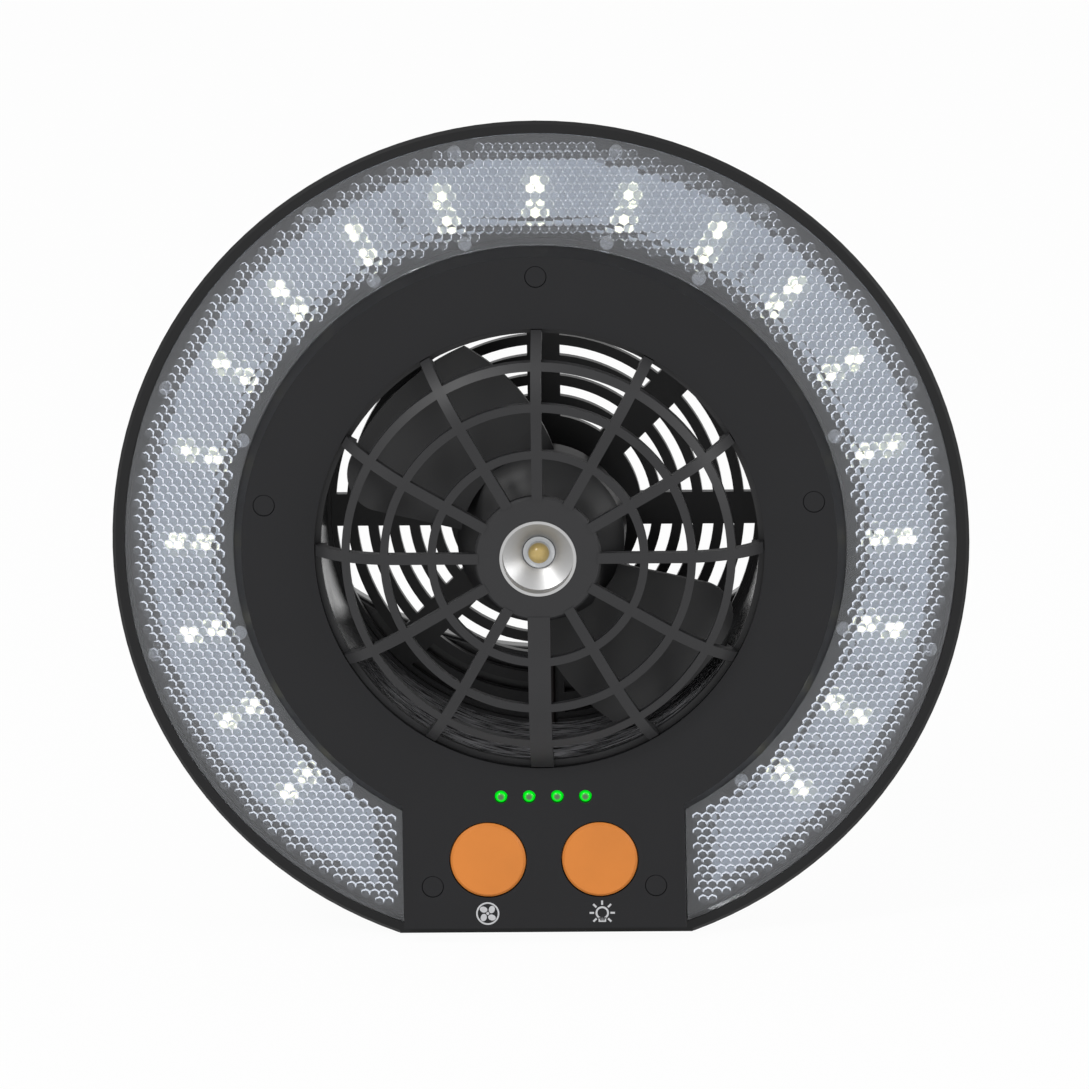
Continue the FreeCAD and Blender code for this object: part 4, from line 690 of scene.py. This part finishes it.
class FAN_OT_spotlight(bpy.types.Operator):
    """Finishes the reflector, its LED bead and the leads behind it"""
    bl_idname = "camping_fan.spotlight"
    bl_label = "Spotlight"

    def execute(self, context):
        silver = Finish("reflector_silver", (0.50, 0.50, 0.50), 0.42, 1.0).wear(250.0, 0.04, 0.1)
        silver.grain(1600.0, 0.00002, 0.4)
        wear_on("spot_reflector", silver)
        bead = Finish("bead_phosphor", (0.80, 0.80, 0.76), 0.25, gloss=0.6)
        x, y, z = bead.parts((0, 0, AXIS_Z))
        spread = (x * x + z * z) ** 0.5
        inside = spread.below(PHOSPHOR_R, 0.0002)
        cloud = bead.noise(900.0)
        yellow = bead.mixed(cloud, (0.52, 0.36, 0.10, 1), (0.66, 0.50, 0.20, 1))
        bead.feed("Base Color", bead.mixed(inside, (0.80, 0.82, 0.84, 1), yellow))
        wear_on("spot_led", bead)
        wear_on("spot_leads", plastic("lead_black", (0.012, 0.012, 0.012), 0.5))
        wear_on("motor_leads", plastic("lead_dark", (0.016, 0.012, 0.012), 0.45))
        return {"FINISHED"}


class FAN_OT_controls(bpy.types.Operator):
    """Finishes the buttons, the switches and the green indicators"""
    bl_idname = "camping_fan.controls"
    bl_label = "Controls"

    def execute(self, context):
        colours = context.scene.fan_colours
        orange = plastic("button_orange", colours.button, 0.42, 0.35, 0.00002)
        wear_on("fan_button", orange)
        wear_on("light_button", orange)
        dark = plastic("switch_black", (0.02, 0.02, 0.02), 0.45)
        for name in ("fan_plunger", "light_plunger", "tact_switches"):
            wear_on(name, dark)
        lamp = Finish("indicator_green", (0.02, 0.30, 0.03), 0.25, gloss=0.5)
        pitch = (LAMPS[1][0] - LAMPS[0][0] - LAMP_WIDE) / 3
        x, y, z = lamp.parts(((LAMPS[0][0] + LAMPS[1][0]) / 2, 0, (LAMPS[0][2] + LAMPS[1][2]) / 2))
        along = lamp.node("ShaderNodeMath", {"operation": "PINGPONG"}, x + 10 * pitch, pitch / 2)
        near = pitch / 2 - Number(lamp, along.outputs[0])
        spread = (near * near + z * z) ** 0.5
        core = spread.below(LAMP_CORE_R, 0.0002)
        mid = spread.below(LAMP_MID_R, 0.00018)
        ring = lamp.mixed(mid, tuple(colours.lamp) + (1,), (0.02, 0.25, 0.02, 1))
        face = lamp.mixed(core, ring, (0.045, 0.085, 0.04, 1))
        lamp.feed("Base Color", face)
        lamp.feed("Emission Color", face)
        lamp.shader.inputs["Emission Strength"].default_value = 1.0
        wear_on("indicator_leds", lamp)
        return {"FINISHED"}


class FAN_OT_inside(bpy.types.Operator):
    """Finishes the motor, the cells, the boards and the charging socket"""
    bl_idname = "camping_fan.inside"
    bl_label = "Inside"

    def execute(self, context):
        green = Finish("board_green", (0.012, 0.10, 0.035), 0.35).wear(200.0)
        wear_on("control_board", green)
        wear_on("power_board", green)
        steel = Finish("motor_zinc", (0.45, 0.45, 0.46), 0.3, 1.0).wear(120.0).grain(900.0, 0.00002, 0.4,
                                                                                   (1, 8, 1))
        wear_on("motor_can", steel)
        wear_on("motor_shaft", Finish("shaft_ground", (0.6, 0.6, 0.61), 0.2, 1.0).wear(500.0))
        wear_on("port_pin", Finish("pin_ground", (0.55, 0.55, 0.56), 0.25, 1.0).wear(500.0))
        wear_on("motor_end_cap", plastic("cap_nylon", (0.50, 0.49, 0.44), 0.5))
        wear_on("motor_magnets", Finish("magnet_dark", (0.05, 0.05, 0.055), 0.6, 0.4).wear(300.0))
        wear_on("motor_bushes", Finish("bush_bronze", (0.50, 0.32, 0.13), 0.35, 1.0).wear(600.0))
        wear_on("motor_armature", Finish("armature_core", (0.25, 0.15, 0.09), 0.4, 0.8).wear(500.0))
        wear_on("battery_cells", Finish("cell_blue", (0.03, 0.13, 0.32), 0.3).wear(80.0))
        wear_on("battery_saddles", plastic("saddle_black", (0.02, 0.02, 0.02), 0.5))
        wear_on("battery_tabs", Finish("tab_nickel", (0.55, 0.53, 0.48), 0.3, 1.0).wear(400.0))
        wear_on("charge_socket", Finish("socket_tin", (0.6, 0.6, 0.6), 0.28, 1.0).wear(700.0))
        return {"FINISHED"}


class FAN_OT_stage(bpy.types.Operator):
    """Builds the pale floor, the soft lamps and the camera"""
    bl_idname = "camping_fan.stage"
    bl_label = "Stage"

    def execute(self, context):
        scene = context.scene
        studio = scene.fan_studio
        scene.view_settings.view_transform = "Standard"

        floor_paint = bpy.data.materials.new("floor_white")
        floor_paint.use_nodes = True
        tree = floor_paint.node_tree
        tree.nodes.clear()
        chalk = tree.nodes.new("ShaderNodeBsdfDiffuse")
        chalk.inputs["Color"].default_value = (0.9, 0.9, 0.9, 1)
        glow = tree.nodes.new("ShaderNodeEmission")
        glow.inputs["Color"].default_value = (1, 1, 1, 1)
        self.show_white(tree, chalk.outputs[0], glow.outputs[0], 0.96, "ShaderNodeOutputMaterial")
        shape = bmesh.new()
        bmesh.ops.create_grid(shape, x_segments=1, y_segments=1, size=FLOOR_HALF,
                              matrix=Matrix.Translation((0, 0, -FLOOR_DROP)))
        mesh = bpy.data.meshes.new("floor")
        shape.to_mesh(mesh)
        shape.free()
        mesh.materials.append(floor_paint)
        floor = bpy.data.objects.new("floor", mesh)
        scene.collection.objects.link(floor)

        world = bpy.data.worlds.new("studio_room")
        scene.world = world
        world.use_nodes = True
        tree = world.node_tree
        tree.nodes.clear()
        even = tree.nodes.new("ShaderNodeBackground")
        even.inputs["Color"].default_value = (1, 1, 1, 1)
        even.inputs["Strength"].default_value = studio.sky
        white = tree.nodes.new("ShaderNodeBackground")
        white.inputs["Color"].default_value = (1, 1, 1, 1)
        self.show_white(tree, even.outputs[0], white.outputs[0], 1.0, "ShaderNodeOutputWorld")

        self.lamp(context, "main_lamp", (-0.9, -1.3, 1.5), 0.5, studio.key)
        self.lamp(context, "side_lamp", (1.5, -0.8, 0.7), 0.7, studio.fill)
        self.camera(context)
        return {"FINISHED"}

    def show_white(self, tree, plain, white, amount, output):
        """Shows white to the camera, to gloss and through glass, and the plain look to the rest."""
        rays = tree.nodes.new("ShaderNodeLightPath")
        seen = rays.outputs["Is Camera Ray"]
        for name in ("Is Glossy Ray", "Is Transmission Ray"):
            either = tree.nodes.new("ShaderNodeMath")
            either.operation = "MAXIMUM"
            tree.links.new(seen, either.inputs[0])
            tree.links.new(rays.outputs[name], either.inputs[1])
            seen = either.outputs[0]
        share = tree.nodes.new("ShaderNodeMath")
        share.operation = "MULTIPLY"
        tree.links.new(seen, share.inputs[0])
        share.inputs[1].default_value = amount
        mix = tree.nodes.new("ShaderNodeMixShader")
        tree.links.new(share.outputs[0], mix.inputs[0])
        tree.links.new(plain, mix.inputs[1])
        tree.links.new(white, mix.inputs[2])
        sink = tree.nodes.new(output)
        tree.links.new(mix.outputs[0], sink.inputs[0])

    def lamp(self, context, name, place, size, power):
        light = bpy.data.lights.new(name, "AREA")
        light.size = size
        light.energy = power
        obj = bpy.data.objects.new(name, light)
        aim = Vector((0, 0, AXIS_Z)) - Vector(place)
        obj.matrix_world = Matrix.Translation(place) @ aim.to_track_quat("-Z", "Y").to_matrix().to_4x4()
        context.scene.collection.objects.link(obj)

    def camera(self, context):
        studio = context.scene.fan_studio
        turn, lift, roll = studio.azimuth, studio.elevation, studio.roll
        ahead = Vector((-math.sin(turn) * math.cos(lift), math.cos(turn) * math.cos(lift), -math.sin(lift)))
        right = Vector((math.cos(turn), math.sin(turn), 0))
        up = right.cross(ahead)
        right, up = (right * math.cos(roll) - up * math.sin(roll),
                     up * math.cos(roll) + right * math.sin(roll))
        data = bpy.data.cameras.new("camera")
        data.sensor_width = 36.0
        data.lens = studio.lens
        data.dof.use_dof = False
        distance = studio.width * studio.lens / data.sensor_width
        target = Vector((0, PANEL[0][1], AXIS_Z)) + right * studio.aside + up * studio.above
        place = target - ahead * distance
        facing = Matrix((right, up, -ahead)).transposed().to_4x4()
        obj = bpy.data.objects.new("camera", data)
        obj.matrix_world = Matrix.Translation(place) @ facing
        data.clip_end = 20.0
        context.scene.collection.objects.link(obj)
        context.scene.camera = obj


OPERATORS = (FAN_OT_housing, FAN_OT_panel, FAN_OT_signs, FAN_OT_lens, FAN_OT_pegs, FAN_OT_light_board,
             FAN_OT_fan, FAN_OT_spotlight, FAN_OT_controls, FAN_OT_inside, FAN_OT_stage)


class FAN_PT_pieces(bpy.types.Panel):
    """Lists the fan's settings and pieces"""
    bl_idname = "FAN_PT_pieces"
    bl_label = "Camping fan"
    bl_space_type = "VIEW_3D"
    bl_region_type = "UI"
    bl_category = "Camping fan"

    def draw(self, context):
        for group in (context.scene.fan_colours, context.scene.fan_ring, context.scene.fan_studio):
            box = self.layout.box()
            for name in group.__annotations__:
                box.prop(group, name)
        for operator in OPERATORS:
            self.layout.operator(operator.bl_idname)


CLASSES = (FanColours, RingLight, Studio) + OPERATORS + (FAN_PT_pieces,)


def register():
    for item in CLASSES:
        bpy.utils.register_class(item)
    bpy.types.Scene.fan_colours = PointerProperty(type=FanColours)
    bpy.types.Scene.fan_ring = PointerProperty(type=RingLight)
    bpy.types.Scene.fan_studio = PointerProperty(type=Studio)


def unregister():
    for name in ("fan_studio", "fan_ring", "fan_colours"):
        delattr(bpy.types.Scene, name)
    for item in reversed(CLASSES):
        bpy.utils.unregister_class(item)


def main():
    register()
    for operator in OPERATORS:
        space, name = operator.bl_idname.split(".")
        getattr(getattr(bpy.ops, space), name)()


if __name__ == "__main__":
    main()
